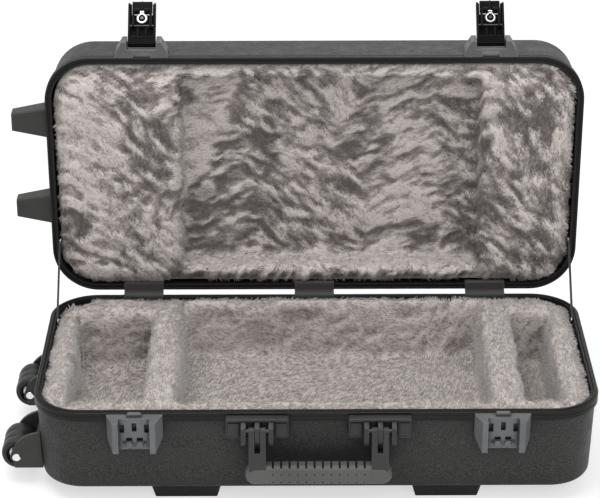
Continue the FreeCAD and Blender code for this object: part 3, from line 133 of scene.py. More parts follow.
def add_world(light):
    """White to look at, and a plain grey for the light that it gives."""
    world = bpy.data.worlds.new("studio")
    scene.world = world
    world.use_nodes = True
    tree = world.node_tree
    tree.nodes.clear()
    lit = tree.nodes.new("ShaderNodeBackground")
    lit.inputs["Strength"].default_value = light
    lit.inputs["Color"].default_value = (1, 1, 1, 1)
    seen = tree.nodes.new("ShaderNodeBackground")
    seen.inputs["Color"].default_value = (1, 1, 1, 1)
    mix = tree.nodes.new("ShaderNodeMixShader")
    output = tree.nodes.new("ShaderNodeOutputWorld")
    tree.links.new(seen_directly(tree), mix.inputs["Fac"])
    tree.links.new(lit.outputs[0], mix.inputs[1])
    tree.links.new(seen.outputs[0], mix.inputs[2])
    tree.links.new(mix.outputs[0], output.inputs["Surface"])


def add_floor(glow, half_side):
    """A pale floor that looks white and keeps the case's shadow."""
    mesh = bpy.data.meshes.new("floor")
    corners = [(x, y, 0) for x, y in ((-1, -1), (1, -1), (1, 1), (-1, 1))]
    mesh.from_pydata([Vector(corner) * half_side for corner in corners], [], [(0, 1, 2, 3)])
    floor = add_object("floor", mesh)
    material = bpy.data.materials.new("pale_floor")
    material.use_nodes = True
    tree = material.node_tree
    tree.nodes.clear()
    shares = []
    for share in (1, 1 - glow):
        matt = tree.nodes.new("ShaderNodeBsdfDiffuse")
        matt.inputs["Color"].default_value = (share, share, share, 1)
        shares.append(matt)
    light = tree.nodes.new("ShaderNodeEmission")
    light.inputs["Strength"].default_value = glow
    both = tree.nodes.new("ShaderNodeAddShader")
    mix = tree.nodes.new("ShaderNodeMixShader")
    output = tree.nodes.new("ShaderNodeOutputMaterial")
    tree.links.new(light.outputs[0], both.inputs[0])
    tree.links.new(shares[1].outputs[0], both.inputs[1])
    tree.links.new(seen_directly(tree), mix.inputs["Fac"])
    tree.links.new(shares[0].outputs[0], mix.inputs[1])
    tree.links.new(both.outputs[0], mix.inputs[2])
    tree.links.new(mix.outputs[0], output.inputs["Surface"])
    mesh.materials.append(material)


def add_studio():
    """Soft light from above, in front and one side, over a white floor."""
    middle = (0, 0, 0.25)
    add_world(light=0.68)
    add_floor(glow=0.6, half_side=8)
    add_softbox("key", (-0.5, -0.3, 2.6), middle, size=1.8, power=52)
    add_softbox("fill", (0.8, -2.8, 1.9), middle, size=1.6, power=38)
    add_softbox("rim", (0.6, 2.0, 2.0), middle, size=1.2, power=7)
    scene.view_settings.view_transform = "Standard"


# Material helpers
def new_look(name, color, roughness, **sockets):
    """A Principled material. Further sockets are given by name, with _ for a space."""
    material = bpy.data.materials.new(name)
    material.use_nodes = True
    shader = material.node_tree.nodes["Principled BSDF"]
    shader.inputs["Base Color"].default_value = (*color, 1)
    shader.inputs["Roughness"].default_value = roughness
    for socket, value in sockets.items():
        shader.inputs[socket.replace("_", " ")].default_value = value
    return material, material.node_tree, shader


def stretched(tree, stretch):
    """Coordinates of the piece itself, stretched along each axis."""
    place = tree.nodes.new("ShaderNodeTexCoord")
    mapping = tree.nodes.new("ShaderNodeMapping")
    mapping.inputs["Scale"].default_value = stretch
    tree.links.new(place.outputs["Object"], mapping.inputs["Vector"])
    return mapping.outputs["Vector"]


def grain(tree, size, stretch=(1, 1, 1), detail=3.0):
    """A noise whose features are about a size across."""
    texture = tree.nodes.new("ShaderNodeTexNoise")
    texture.inputs["Scale"].default_value = 1 / size
    texture.inputs["Detail"].default_value = detail
    texture.inputs["Roughness"].default_value = 0.55
    tree.links.new(stretched(tree, stretch), texture.inputs["Vector"])
    return texture.outputs["Fac"]


def pebbles(tree, size):
    """A pattern of rounded cells about a size across."""
    texture = tree.nodes.new("ShaderNodeTexVoronoi")
    texture.feature = "SMOOTH_F1"
    texture.inputs["Scale"].default_value = 1 / size
    texture.inputs["Smoothness"].default_value = 0.6
    tree.links.new(stretched(tree, (1, 1, 1)), texture.inputs["Vector"])
    return texture.outputs["Distance"]


def threads(tree, size, direction):
    """Bands a size apart along one axis, for woven threads."""
    texture = tree.nodes.new("ShaderNodeTexWave")
    texture.bands_direction = direction
    texture.inputs["Scale"].default_value = 0.314 / size
    texture.inputs["Distortion"].default_value = 0.6
    tree.links.new(stretched(tree, (1, 1, 1)), texture.inputs["Vector"])
    return texture.outputs["Fac"]


def shade(tree, factor, socket, stops):
    """Drive a colour socket from a factor through a colour ramp."""
    ramp = tree.nodes.new("ShaderNodeValToRGB")
    points = ramp.color_ramp.elements
    while len(points) < len(stops):
        points.new(0.5)
    for point, (position, color) in zip(points, stops):
        point.position = position
        point.color = (*color, 1)
    tree.links.new(factor, ramp.inputs["Fac"])
    tree.links.new(ramp.outputs["Color"], socket)


def spread(tree, factor, socket, low, high):
    """Drive a number socket from a factor between two values."""
    reach = tree.nodes.new("ShaderNodeMapRange")
    reach.inputs["From Min"].default_value = 0.3
    reach.inputs["From Max"].default_value = 0.7
    reach.inputs["To Min"].default_value = low
    reach.inputs["To Max"].default_value = high
    tree.links.new(factor, reach.inputs["Value"])
    tree.links.new(reach.outputs["Result"], socket)


def raise_by(tree, shader, height, depth):
    """Add a pattern's relief to the shader's normal, over any relief that is there already."""
    bump = tree.nodes.new("ShaderNodeBump")
    bump.inputs["Distance"].default_value = depth
    bump.inputs["Strength"].default_value = 1.0
    normal = shader.inputs["Normal"]
    if normal.is_linked:
        tree.links.new(normal.links[0].from_socket, bump.inputs["Normal"])
    tree.links.new(height, bump.inputs["Height"])
    tree.links.new(bump.outputs["Normal"], normal)


def tinted(color, gain):
    """A colour made lighter or darker."""
    return tuple(min(1.0, part * gain) for part in color)


# Materials of the rigid pieces
def openness(tree, distance, alone=True):
    """How open a surface is within a distance: 1 in the open, less in corners and hollows."""
    free = tree.nodes.new("ShaderNodeAmbientOcclusion")
    free.samples = 4
    free.only_local = alone
    free.inputs["Distance"].default_value = distance
    return free.outputs["AO"]


def blended(tree, factor, first, color):
    """A colour that goes from a linked colour to a set one with a factor."""
    mix = tree.nodes.new("ShaderNodeMix")
    mix.data_type = "RGBA"
    tree.links.new(factor, mix.inputs["Factor"])
    tree.links.new(first, mix.inputs["A"])
    mix.inputs["B"].default_value = (*color, 1)
    return mix.outputs["Result"]


def paint_edges_and_hollows(tree, shader, radius, color, gain, hollow_shade):
    """Round the edges off in the shading, lighten them as wear and a painted highlight, and darken the
    hollows with painted shade.
    """
    rounded = tree.nodes.new("ShaderNodeBevel")
    rounded.samples = 4
    rounded.inputs["Radius"].default_value = radius
    geometry = tree.nodes.new("ShaderNodeNewGeometry")
    agree = tree.nodes.new("ShaderNodeVectorMath")
    agree.operation = "DOT_PRODUCT"
    tree.links.new(rounded.outputs["Normal"], agree.inputs[0])
    tree.links.new(geometry.outputs["Normal"], agree.inputs[1])
    edge = tree.nodes.new("ShaderNodeMapRange")
    edge.inputs["From Min"].default_value = 0.99
    edge.inputs["From Max"].default_value = 0.85
    tree.links.new(agree.outputs["Value"], edge.inputs["Value"])
    outer = tree.nodes.new("ShaderNodeMath")
    outer.operation = "MULTIPLY"
    tree.links.new(edge.outputs["Result"], outer.inputs[0])
    tree.links.new(openness(tree, 3 * MM), outer.inputs[1])
    # painted shade: hollows and corners within a few millimetres are darkened
    hollow = tree.nodes.new("ShaderNodeMapRange")
    hollow.inputs["From Min"].default_value = 0.95
    hollow.inputs["From Max"].default_value = hollow_shade
    tree.links.new(openness(tree, 7 * MM), hollow.inputs["Value"])
    plain = shader.inputs["Base Color"].links[0].from_socket
    # outer edges lightened: partly wear, partly a painted highlight
    worn_and_highlit = blended(tree, outer.outputs["Value"], plain, tinted(color, gain))
    hollow_shaded = blended(tree, hollow.outputs["Result"], worn_and_highlit, tinted(color, 0.1))
    tree.links.new(hollow_shaded, shader.inputs["Base Color"])
    tree.links.new(rounded.outputs["Normal"], shader.inputs["Normal"])


def moulded(
    name, color, roughness, grain_size, grain_depth, edge=1.2 * MM, gain=2.6, gloss=0.3, hollow_shade=0.35,
):
    """Moulded plastic: a fine mould grain, cloudy colour, uneven gloss, rubbed edges with a painted
    highlight, and painted shade in its hollows.
    """
    material, tree, shader = new_look(name, color, roughness, Specular_IOR_Level=gloss)
    cloud = grain(tree, 45 * MM, detail=4)
    stops = [(0.3, tinted(color, 0.86)), (0.7, tinted(color, 1.14))]
    shade(tree, cloud, shader.inputs["Base Color"], stops)
    paint_edges_and_hollows(tree, shader, edge, color, gain, hollow_shade)
    spread(tree, grain(tree, 6 * MM), shader.inputs["Roughness"], roughness - 0.06, roughness + 0.08)
    raise_by(tree, shader, grain(tree, grain_size, detail=2), grain_depth)
    return material


def shell_look(color):
    """Pebbled shell plastic, with painted highlights on the tops of its pebbles and painted shadow near other
    parts.
    """
    material, tree, shader = new_look("shell_pebble", color, 0.5, Specular_IOR_Level=0.26)
    cells = pebbles(tree, 2.8 * MM)
    fine = grain(tree, 1.5 * MM, detail=1)
    # painted highlight: the raised grain is lighter and the low grain darker
    stops = [(0.34, tinted(color, 0.2)), (0.66, tinted(color, 2.2))]
    shade(tree, fine, shader.inputs["Base Color"], stops)
    # painted shadow: the shell darkens near the handle, the fittings, the rim and the floor
    contact_shadow = tree.nodes.new("ShaderNodeMapRange")
    contact_shadow.inputs["From Min"].default_value = 0.85
    contact_shadow.inputs["From Max"].default_value = 0.4
    tree.links.new(openness(tree, 70 * MM, alone=False), contact_shadow.inputs["Value"])
    plain = shader.inputs["Base Color"].links[0].from_socket
    contact_shadowed = blended(tree, contact_shadow.outputs["Result"], plain, tinted(color, 0.1))
    tree.links.new(contact_shadowed, shader.inputs["Base Color"])
    spread(tree, grain(tree, 20 * MM), shader.inputs["Roughness"], 0.42, 0.58)
    raise_by(tree, shader, cells, -0.6 * MM)
    raise_by(tree, shader, fine, 0.5 * MM)
    return material


def metal_look(name, color, roughness, grain_size):
    """Plated metal with fine wear in its gloss."""
    material, tree, shader = new_look(name, color, roughness, Metallic=1.0)
    marks = grain(tree, grain_size, detail=4)
    spread(tree, marks, shader.inputs["Roughness"], roughness * 0.7, roughness * 1.6)
    shade(tree, grain(tree, 12 * MM), shader.inputs["Base Color"], [(0.3, tinted(color, 0.9)), (0.7, color)])
    raise_by(tree, shader, marks, 0.02 * MM)
    return material


def turned_look(name, centre, rings):
    """Bright turned metal with darker rings round a centre. Each ring has a radius and a colour."""
    material, tree, shader = new_look(name, rings[0][1], 0.18, Metallic=1.0)
    place = tree.nodes.new("ShaderNodeTexCoord")
    away = tree.nodes.new("ShaderNodeVectorMath")
    away.operation = "DISTANCE"
    tree.links.new(place.outputs["Object"], away.inputs[0])
    away.inputs[1].default_value = centre
    reach = rings[-1][0] * 1.2
    share = tree.nodes.new("ShaderNodeMapRange")
    share.inputs["From Max"].default_value = reach
    tree.links.new(away.outputs["Value"], share.inputs["Value"])
    ramp = [(radius / reach, color) for radius, color in rings]
    shade(tree, share.outputs["Result"], shader.inputs["Base Color"], ramp)
    marks = grain(tree, 1.2 * MM, detail=3)
    spread(tree, marks, shader.inputs["Roughness"], 0.12, 0.3)
    raise_by(tree, shader, marks, 0.03 * MM)
    return material


def rubber_look(color):
    """Scuffed wheel rubber."""
    material, tree, shader = new_look("tyre_rubber", color, 0.5, Specular_IOR_Level=0.35)
    scuffs = grain(tree, 9 * MM, stretch=(1, 3, 1), detail=5)
    shade(tree, scuffs, shader.inputs["Base Color"], [(0.35, tinted(color, 0.75)), (0.7, tinted(color, 1.7))])
    spread(tree, scuffs, shader.inputs["Roughness"], 0.36, 0.55)
    raise_by(tree, shader, grain(tree, 1.4 * MM), 0.08 * MM)
    return material


def woven_look(name, color, thread, axes):
    """Woven cloth: two sets of crossing threads in relief and in tone."""
    material, tree, shader = new_look(name, color, 0.8, Sheen_Weight=0.15, Sheen_Roughness=0.5)
    for axis in axes:
        raise_by(tree, shader, threads(tree, thread, axis), 0.18 * MM)
    nap = grain(tree, thread, detail=3)
    shade(tree, nap, shader.inputs["Base Color"], [(0.3, tinted(color, 0.7)), (0.7, tinted(color, 1.35))])
    spread(tree, nap, shader.inputs["Roughness"], 0.72, 0.9)
    return material


def dress(names, material):
    """Give CAD nodes a material."""
    for name in names:
        mesh = nodes[name].data
        mesh.materials.clear()
        mesh.materials.append(material)


def pair(stem, ends=("left", "right")):
    """The names of a left and a right node, or of another pair."""
    return [f"{stem}_{end}" for end in ends]


BRIGHT = (0.7, 0.7, 0.71)
MIDDLE = (0.06, 0.06, 0.06)
SHADED = (0.006, 0.006, 0.006)


def seen_end(node, joint_name):
    """The point on a turned piece's axis at the end that faces the front of the case."""
    joint = next(joint for joint in frame["joints"] if joint["name"] == joint_name)
    place = Vector(joint["pos_m"])
    axis = Vector(joint["axis"]) * math.copysign(1, joint["axis"][1])
    nearest = min(axis.dot(corner.co) for corner in nodes[node].data.vertices)
    return place + axis * (nearest - axis.dot(place))


def dress_locks():
    """Key locks: a grey plug, a painted shadow of a groove round it, a bright rim and a bright cam."""
    groove = [(1.5, MIDDLE), (2.2, SHADED), (5, SHADED)]
    steps = groove + [(5.6, BRIGHT), (6.8, MIDDLE), (8, MIDDLE), (9, BRIGHT)]
    rings = [(radius * MM, color) for radius, color in steps]
    for end in ("left", "right"):
        lock = f"latch_lock_{end}"
        dress([lock], turned_look(f"{lock}_metal", seen_end(lock, f"lock_{end}_turn"), rings))


def dress_hubs():
    """Wheel hubs: a bright middle that darkens towards the tyre."""
    for end in ("front", "rear"):
        hub = f"wheel_hub_{end}"
        low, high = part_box(hub)
        radius = (high.z - low.z) / 2
        steps = [(0.45, BRIGHT), (0.5, SHADED), (0.62, BRIGHT), (0.8, SHADED)]
        rings = [(share * radius, color) for share, color in steps]
        dress([hub], turned_look(f"{hub}_metal", seen_end(hub, f"wheel_{end}_roll"), rings))


def dress_frame():
    """Materials for every rigid CAD node."""
    ends = ("front", "rear")
    dress(["base_shell", "lid_shell"], shell_look((0.017, 0.0167, 0.016)))
    rim = moulded("rim_black", (0.006, 0.006, 0.0058), 0.4, 1.2 * MM, 0.03 * MM, gain=3, gloss=0.18)
    dress(["base_valance", "lid_valance"], rim)
    latch = moulded("latch_grey", (0.095, 0.097, 0.1), 0.42, 0.9 * MM, 0.05 * MM, 0.8 * MM, 2.2, hollow_shade=0.5)
    dress(pair("latch_keeper"), latch)
    housing = moulded("housing_grey", (0.07, 0.0715, 0.074), 0.42, 0.9 * MM, 0.05 * MM, 2 * MM, gain=3)
    dress(pair("latch_housing"), housing)
    lever = moulded("lever_black", (0.0028, 0.0028, 0.0028), 0.42, 0.8 * MM, 0.03 * MM, gain=15, gloss=0.03)
    dress(pair("latch_lever"), lever)
    black = (0.0035, 0.0035, 0.0036)
    trigger = moulded("trigger_black", black, 0.36, 0.8 * MM, 0.02 * MM, gain=12, gloss=0.04)
    dress(pair("latch_trigger"), trigger)
    fitting = moulded("fitting_charcoal", (0.022, 0.022, 0.022), 0.48, 0.9 * MM, 0.05 * MM, gain=3, hollow_shade=0.6)
    dress(pair("handle_bracket") + ["handle_frame"], fitting)
    wheel_box = moulded("wheel_housing_charcoal", (0.024, 0.0238, 0.0225), 0.5, 1.2 * MM, 0.06 * MM)
    dress(pair("wheel_housing", ends) + ["lid_stand_feet"], wheel_box)
    foot = moulded("foot_black", (0.008, 0.008, 0.008), 0.5, 1.2 * MM, 0.06 * MM, gloss=0.15)
    dress(["base_feet"], foot)
    grip = moulded("grip_grey", (0.066, 0.066, 0.064), 0.55, 0.8 * MM, 0.08 * MM, gain=1.4, hollow_shade=0.75)
    dress(["handle_grip"], grip)
    dress(pair("wheel_tyre", ends), rubber_look((0.009, 0.009, 0.009)))
    dress_locks()
    dress_hubs()
    dress(["wheel_axles"], metal_look("chrome", (0.78, 0.78, 0.79), 0.14, 1.5 * MM))
    steel = metal_look("zinc_steel", (0.55, 0.55, 0.55), 0.32, 3 * MM)
    dress(["hinge_pins", "base_stay_rivets", "lid_stay_rivets"], steel)
    dark = metal_look("dark_steel", (0.06, 0.06, 0.06), 0.34, 2 * MM)
    dress(["lever_pins", "handle_pins", "keeper_screws"] + pair("trigger_pin"), dark)
    blackened = metal_look("blackened_steel", (0.09, 0.09, 0.09), 0.38, 2 * MM)
    dress(["base_hinge_leaves", "lid_hinge_leaves"], blackened)


# Smooth random fields for the plush
SEED = 20
table = np.random.default_rng(SEED).random((256, 256))


def lattice(u, v):
    """A smooth random field with one random value at each whole number of u and v."""
    iu = np.floor(u).astype(int)
    iv = np.floor(v).astype(int)
    fu = u - iu
    fv = v - iv
    fu = fu * fu * (3 - 2 * fu)
    fv = fv * fv * (3 - 2 * fv)

    def at(du, dv):
        return table[(iu + du) % 256, (iv + dv) % 256]

    low = at(0, 0) * (1 - fu) + at(1, 0) * fu
    high = at(0, 1) * (1 - fu) + at(1, 1) * fu
    return low * (1 - fv) + high * fv


def fractal(u, v, octaves=2):
    """Layers of the random field, each twice as fine and half as strong, from -1 to 1."""
    total = np.zeros_like(u)
    weight = 0.0
    for step in range(octaves):
        gain = 0.5**step
        total += gain * lattice(u * 2**step + 17.3 * step, v * 2**step + 31.7 * step)
        weight += gain
    return 2 * total / weight - 1


def field(u, v, scale, shift=(0, 0)):
    """Layers of the random field with features about a scale across, taken from a shifted place."""
    return fractal(u / scale + shift[0], v / scale + shift[1])


class Crush:
    """How crushed plush lies: patches of strokes, each with its own direction and a darkness that is partly
    painted shade where the pile lies away from the light.
    """

    WANDER = 0.009
    WANDER_SCALE = 0.03
    BEND = 5 * MM
    BEND_SCALE = 0.022
    CURL_SCALE = 0.013
    STROKE_GAIN = 1.9
    CURL_GAIN = 0.75
    DARK_GAIN = 1.75
    SOFTNESS = 1.8
    TURN = 0.5
    TONGUE = 3.6 * MM
    RIPPLE = 0.8 * MM
    SHADOW_STEP = 5 * MM
    CLOUD_SCALE = 0.04
    FLECK_SCALE = 0.009
    DEPTH_SCALE = 0.03

    def __init__(self, patches, low, high, reach, stroke, tones):
        span = np.array(high) - np.array(low)
        self.places = np.array(low) + span * np.array([patch[:2] for patch in patches])
        self.angles = np.radians([patch[2] for patch in patches])
        self.darks = np.array([patch[3] for patch in patches])
        self.reach = reach
        self.stroke = stroke
        self.tones = tones

    def weights(self, u, v):
        """How far each patch holds at each point, with ragged borders between patches."""
        wander = [self.WANDER * field(u, v, self.WANDER_SCALE, shift) for shift in ((0, 0), (91, 57))]
        away = np.hypot(
            (u + wander[0])[:, None] - self.places[:, 0], (v + wander[1])[:, None] - self.places[:, 1]
        )
        nearness = -away / self.reach
        share = np.exp(nearness - nearness.max(1, keepdims=True))
        return share / share.sum(1, keepdims=True)

    def relief(self, u, v, deep):
        """The height of the strokes, from -1 in a valley to 1 on a ridge."""
        share = self.weights(u, v)
        total = np.zeros_like(u)
        along, across = self.stroke
        u, v = u + 0.6 * deep, v + 0.8 * deep
        bend = [field(u, v, self.BEND_SCALE, shift) for shift in ((3, 8), (63, 28))]
        u, v = u + self.BEND * bend[0], v + self.BEND * bend[1]
        for index, angle in enumerate(self.angles):
            a = (u * math.cos(angle) + v * math.sin(angle)) / along
            b = (v * math.cos(angle) - u * math.sin(angle)) / across
            total += share[:, index] * fractal(a + 7.7 * index, b + 3.1 * index, 3)
        curl = field(u, v, self.CURL_SCALE, (51, 77))
        return np.clip(self.STROKE_GAIN * total + self.CURL_GAIN * curl, -1, 1)

    def light(self, u, v, deep):
        """How far the pile lies with its light side out, from 0 to 1."""
        level = self.relief(u, v, deep) + 1 - self.DARK_GAIN * (self.weights(u, v) @ self.darks)
        return np.clip(0.5 + level / self.SOFTNESS, 0, 1)

    def lean(self, u, v):
        """The direction that the pile lies in, as an angle."""
        share = self.weights(u, v)
        turn = self.TURN * field(u, v, self.WANDER_SCALE, (5, 9))
        return np.arctan2(share @ np.sin(self.angles), share @ np.cos(self.angles)) + turn

    def height(self, u, v, deep):
        """How far the pile stands above its backing's middle: light tongues over dark hollows."""
        return self.TONGUE * (self.light(u, v, deep) - 0.6) + self.RIPPLE * self.relief(u, v, deep)

    def tone(self, u, v, deep):
        """Lightness from 0 to 1: light tongues, each with a painted shadow below it."""
        light = self.light(u, v, deep)
        above = self.light(u, v + self.SHADOW_STEP, deep)
        down = deep / self.DEPTH_SCALE
        cloud = fractal(u / self.CLOUD_SCALE + down + 40, v / self.CLOUD_SCALE + down + 70)
        down = deep / self.FLECK_SCALE
        fleck = fractal(u / self.FLECK_SCALE + down + 12, v / self.FLECK_SCALE + down + 33)
        shadow = np.clip(above - light, -0.5, 1)
        calm = np.clip(1 - self.weights(u, v) @ self.darks / 0.5, 0, 1)
        dark, pale = self.tones
        low = dark + 0.6 * calm * (pale - dark)
        high = pale - 0.06 * calm
        return low + (high - low) * (light - 0.5 * shadow) + 0.07 * cloud + 0.08 * fleck


# Pieces of plush
def joined_copy(name, members):
    """A new piece made of copies of some CAD nodes' meshes."""
    grid = bmesh.new()
    for member in members:
        grid.from_mesh(nodes[member].data)
    bmesh.ops.remove_doubles(grid, verts=grid.verts, dist=0.01 * MM)
    mesh = bpy.data.meshes.new(name)
    grid.to_mesh(mesh)
    grid.free()
    return add_object(name, mesh)


def apply_modifiers(piece):
    """Keep what a piece's modifiers make of it, and drop the modifiers."""
    graph = bpy.context.evaluated_depsgraph_get()
    mesh = bpy.data.meshes.new_from_object(piece.evaluated_get(graph))
    piece.modifiers.clear()
    piece.data = mesh


def points_of(mesh):
    """The vertices of a mesh as rows of an array."""
    flat = np.zeros(len(mesh.vertices) * 3, np.float32)
    mesh.vertices.foreach_get("co", flat)
    return flat.reshape(-1, 3).astype(float)


def normals_of(mesh):
    """The vertex normals of a mesh as rows of an array."""
    flat = np.zeros(len(mesh.vertices) * 3, np.float32)
    mesh.vertex_normals.foreach_get("vector", flat)
    return flat.reshape(-1, 3).astype(float)


def move_points(mesh, points):
    """Put the vertices of a mesh at new places."""
    mesh.vertices.foreach_set("co", points.astype(np.float32).ravel())
    mesh.update()


SWELL_FRAMES = 20


def swell(piece, held, pressure, most):
    """Blow the free part of a closed piece up a little with a cloth simulation."""
    group = piece.vertex_groups.new(name="held")
    group.add([int(index) for index in np.flatnonzero(held)], 1.0, "REPLACE")
    rest = points_of(piece.data)
    cloth = piece.modifiers.new("swell", "CLOTH")
    cloth.settings.use_pressure = True
    cloth.settings.uniform_pressure_force = pressure
    cloth.settings.effector_weights.gravity = 0
    cloth.settings.vertex_group_mass = "held"
    cloth.point_cache.frame_start = 1
    cloth.point_cache.frame_end = SWELL_FRAMES
    for step in range(1, SWELL_FRAMES + 1):
        scene.frame_set(step)
    graph = bpy.context.evaluated_depsgraph_get()
    moved = points_of(piece.evaluated_get(graph).data) - rest
    far = np.linalg.norm(moved, axis=1, keepdims=True)
    moved *= np.minimum(1, most / np.maximum(far, 1e-9))
    piece.modifiers.clear()
    piece.vertex_groups.clear()
    scene.frame_set(1)
    move_points(piece.data, rest + moved)


def soften(piece, voxel):
    """Melt joined blocks into one closed form with rounded edges."""
    remesh = piece.modifiers.new("melt", "REMESH")
    remesh.mode = "VOXEL"
    remesh.voxel_size = voxel
    smooth = piece.modifiers.new("round", "SMOOTH")
    smooth.iterations = 5
    apply_modifiers(piece)


def divide(piece):
    """One level of subdivision."""
    finer = piece.modifiers.new("finer", "SUBSURF")
    finer.levels = 1
    finer.render_levels = 1
    apply_modifiers(piece)
    piece.data.polygons.foreach_set("use_smooth", [True] * len(piece.data.polygons))


def inside(u, v, low, high, radius):
    """How far points lie inside a rectangle with rounded corners."""
    half = (np.array(high) - np.array(low)) / 2
    middle = (np.array(high) + np.array(low)) / 2
    du = np.abs(u - middle[0]) - half[0] + radius
    dv = np.abs(v - middle[1]) - half[1] + radius
    outer = np.hypot(np.maximum(du, 0), np.maximum(dv, 0))
    return radius - outer - np.minimum(np.maximum(du, dv), 0)


PLUSH_DARK = (0.085, 0.072, 0.068)
PLUSH_LIGHT = (0.62, 0.565, 0.535)
SHADES = 7


def plush_color(tone):
    """The colour of the pile at a lightness from 0 to 1."""
    return tuple(dark * (light / dark) ** tone for dark, light in zip(PLUSH_DARK, PLUSH_LIGHT))


def plush_look():
    """The backing and the root of the pile: its colour follows the stored tone, which holds how the pile lies
    and painted light and shade.
    """
    material, tree, shader = new_look("plush", plush_color(0.6), 0.9, Sheen_Weight=0.3, Sheen_Roughness=0.4)
    pile_tone = tree.nodes.new("ShaderNodeAttribute")
    pile_tone.attribute_name = "pile_tone"
    fibres = grain(tree, 2.2 * MM, detail=3)
    mixed = tree.nodes.new("ShaderNodeMath")
    mixed.operation = "MULTIPLY_ADD"
    tree.links.new(fibres, mixed.inputs[0])
    mixed.inputs[1].default_value = 0.45
    tree.links.new(pile_tone.outputs["Fac"], mixed.inputs[2])
    stops = [(0.1 + 0.3 * step, plush_color(0.33 * step * 0.9)) for step in range(4)]
    shade(tree, mixed.outputs[0], shader.inputs["Base Color"], stops)
    raise_by(tree, shader, fibres, 1.2 * MM)
    return material


def pile_looks():
    """Fibres of the pile in steps from dark to light."""
    looks = []
    for step in range(SHADES):
        color = plush_color(step / (SHADES - 1))
        looks.append(new_look(f"pile_{step}", color, 0.75, Sheen_Weight=0.25, Sheen_Roughness=0.35)[0])
    return looks


def set_pile_tone(mesh, tone):
    """Store the lightness of the pile at each point."""
    pile_tone = mesh.attributes.new("pile_tone", "FLOAT", "POINT")
    pile_tone.data.foreach_set("value", tone.astype(np.float32))


def scatter(mesh, count, chosen, rng):
    """Random points on the chosen triangles of a mesh, with their normals."""
    mesh.calc_loop_triangles()
    flat = np.zeros(len(mesh.loop_triangles) * 3, np.int32)
    mesh.loop_triangles.foreach_get("vertices", flat)
    corners = points_of(mesh)[flat.reshape(-1, 3)]
    square = np.cross(corners[:, 1] - corners[:, 0], corners[:, 2] - corners[:, 0])
    area = np.linalg.norm(square, axis=1)
    normal = square / np.maximum(area, 1e-12)[:, None]
    wanted = area * chosen(corners.mean(1), normal)
    picked = rng.choice(len(area), count, p=wanted / wanted.sum())
    share = rng.random((count, 2))
    over = share.sum(1) > 1
    share[over] = 1 - share[over]
    a, b, c = (corners[picked, corner] for corner in range(3))
    place = a + share[:, :1] * (b - a) + share[:, 1:] * (c - a)
    return place, normal[picked]


def grow_pile(name, place, normal, lean, tone, length, width, rng):
    """Curved blades of pile, rooted at places on a surface and lying along a lean."""
    count = len(place)
    lean = lean - normal * np.sum(lean * normal, axis=1, keepdims=True)
    lean /= np.maximum(np.linalg.norm(lean, axis=1, keepdims=True), 1e-9)
    side = np.cross(lean, normal)
    size = length * rng.uniform(0.7, 1.2, (count, 1))
    half = side * width / 2 * rng.uniform(0.7, 1.2, (count, 1))
    lift = rng.uniform(0.2, 0.5, (count, 1))
    root = place - normal * 0.8 * MM
    middle = place + size * (0.55 * lift * normal + 0.5 * lean)
    tip = place + size * (0.75 * lift * normal + 0.95 * lean)
    points = np.stack([root - half, root + half, middle - 0.8 * half, middle + 0.8 * half, tip], axis=1)
    first = 5 * np.arange(count)
    mesh = bpy.data.meshes.new(name)
    quads = np.stack([first, first + 1, first + 3, first + 2], axis=1).tolist()
    tips = np.stack([first + 2, first + 3, first + 4], axis=1).tolist()
    mesh.from_pydata(points.reshape(-1, 3).tolist(), [], quads + tips)
    for material in pile_looks():
        mesh.materials.append(material)
    step = tone * (SHADES - 1) + rng.normal(0, 0.45, count)
    low = np.clip(np.round(step - 0.5), 0, SHADES - 1)
    high = np.clip(np.round(step + 0.3), 0, SHADES - 1)
    mesh.polygons.foreach_set("material_index", np.concatenate([low, high]).astype(np.int32))
    facing = np.repeat(normal + 0.35 * lean, 5, axis=0)
    facing /= np.linalg.norm(facing, axis=1, keepdims=True)
    mesh.polygons.foreach_set("use_smooth", [True] * (2 * count))
    mesh.normals_split_custom_set_from_vertices(facing.tolist())
    return add_object(name, mesh)


# Patches of the lid's plush, read at pixels of the photo
LINING_LEFT_PX = 56
LINING_RIGHT_PX = 573
LINING_TOP_PX = 63
LINING_BOTTOM_PX = 285
POCKET_LEFT_PX = 185
POCKET_RIGHT_PX = 480
POCKET_BOTTOM_PX = 254
RIGHT_END_PX = 488
POCKET_DROP = 0.08
END_SHADE = 0.12
END_DARKEST = 0.8
SILL_PLACES = (0.33, 0.45, 0.57, 0.69, 0.79)
SILL_UP = 0.03
SILL_ANGLE = 75
SILL_DARK = 0.75
PATCH_BANDS = 8


def lid_patch(x, y, angle, dark):
    """A patch's place as fractions of the lining, the angle of its strokes in degrees and its darkness."""
    across = (x - LINING_LEFT_PX) / (LINING_RIGHT_PX - LINING_LEFT_PX)
    up = (LINING_BOTTOM_PX - y) / (LINING_BOTTOM_PX - LINING_TOP_PX)
    # the pocket lies deeper than the face, so the photo shows it higher than it is
    if POCKET_LEFT_PX < x < POCKET_RIGHT_PX and y < POCKET_BOTTOM_PX:
        up -= POCKET_DROP
    # the right end is made darker, as it came out lighter than in the photo
    if x > RIGHT_END_PX:
        dark = min(END_DARKEST, dark + END_SHADE)
    return round(across, 2), round(up, 2), angle, round(dark, 2)


def in_bands(patches):
    """Patches from the top band down, and from left to right in a band. A patch's number sets its strokes."""
    return sorted(patches, key=lambda patch: (-round(patch[1] * PATCH_BANDS), patch[0]))


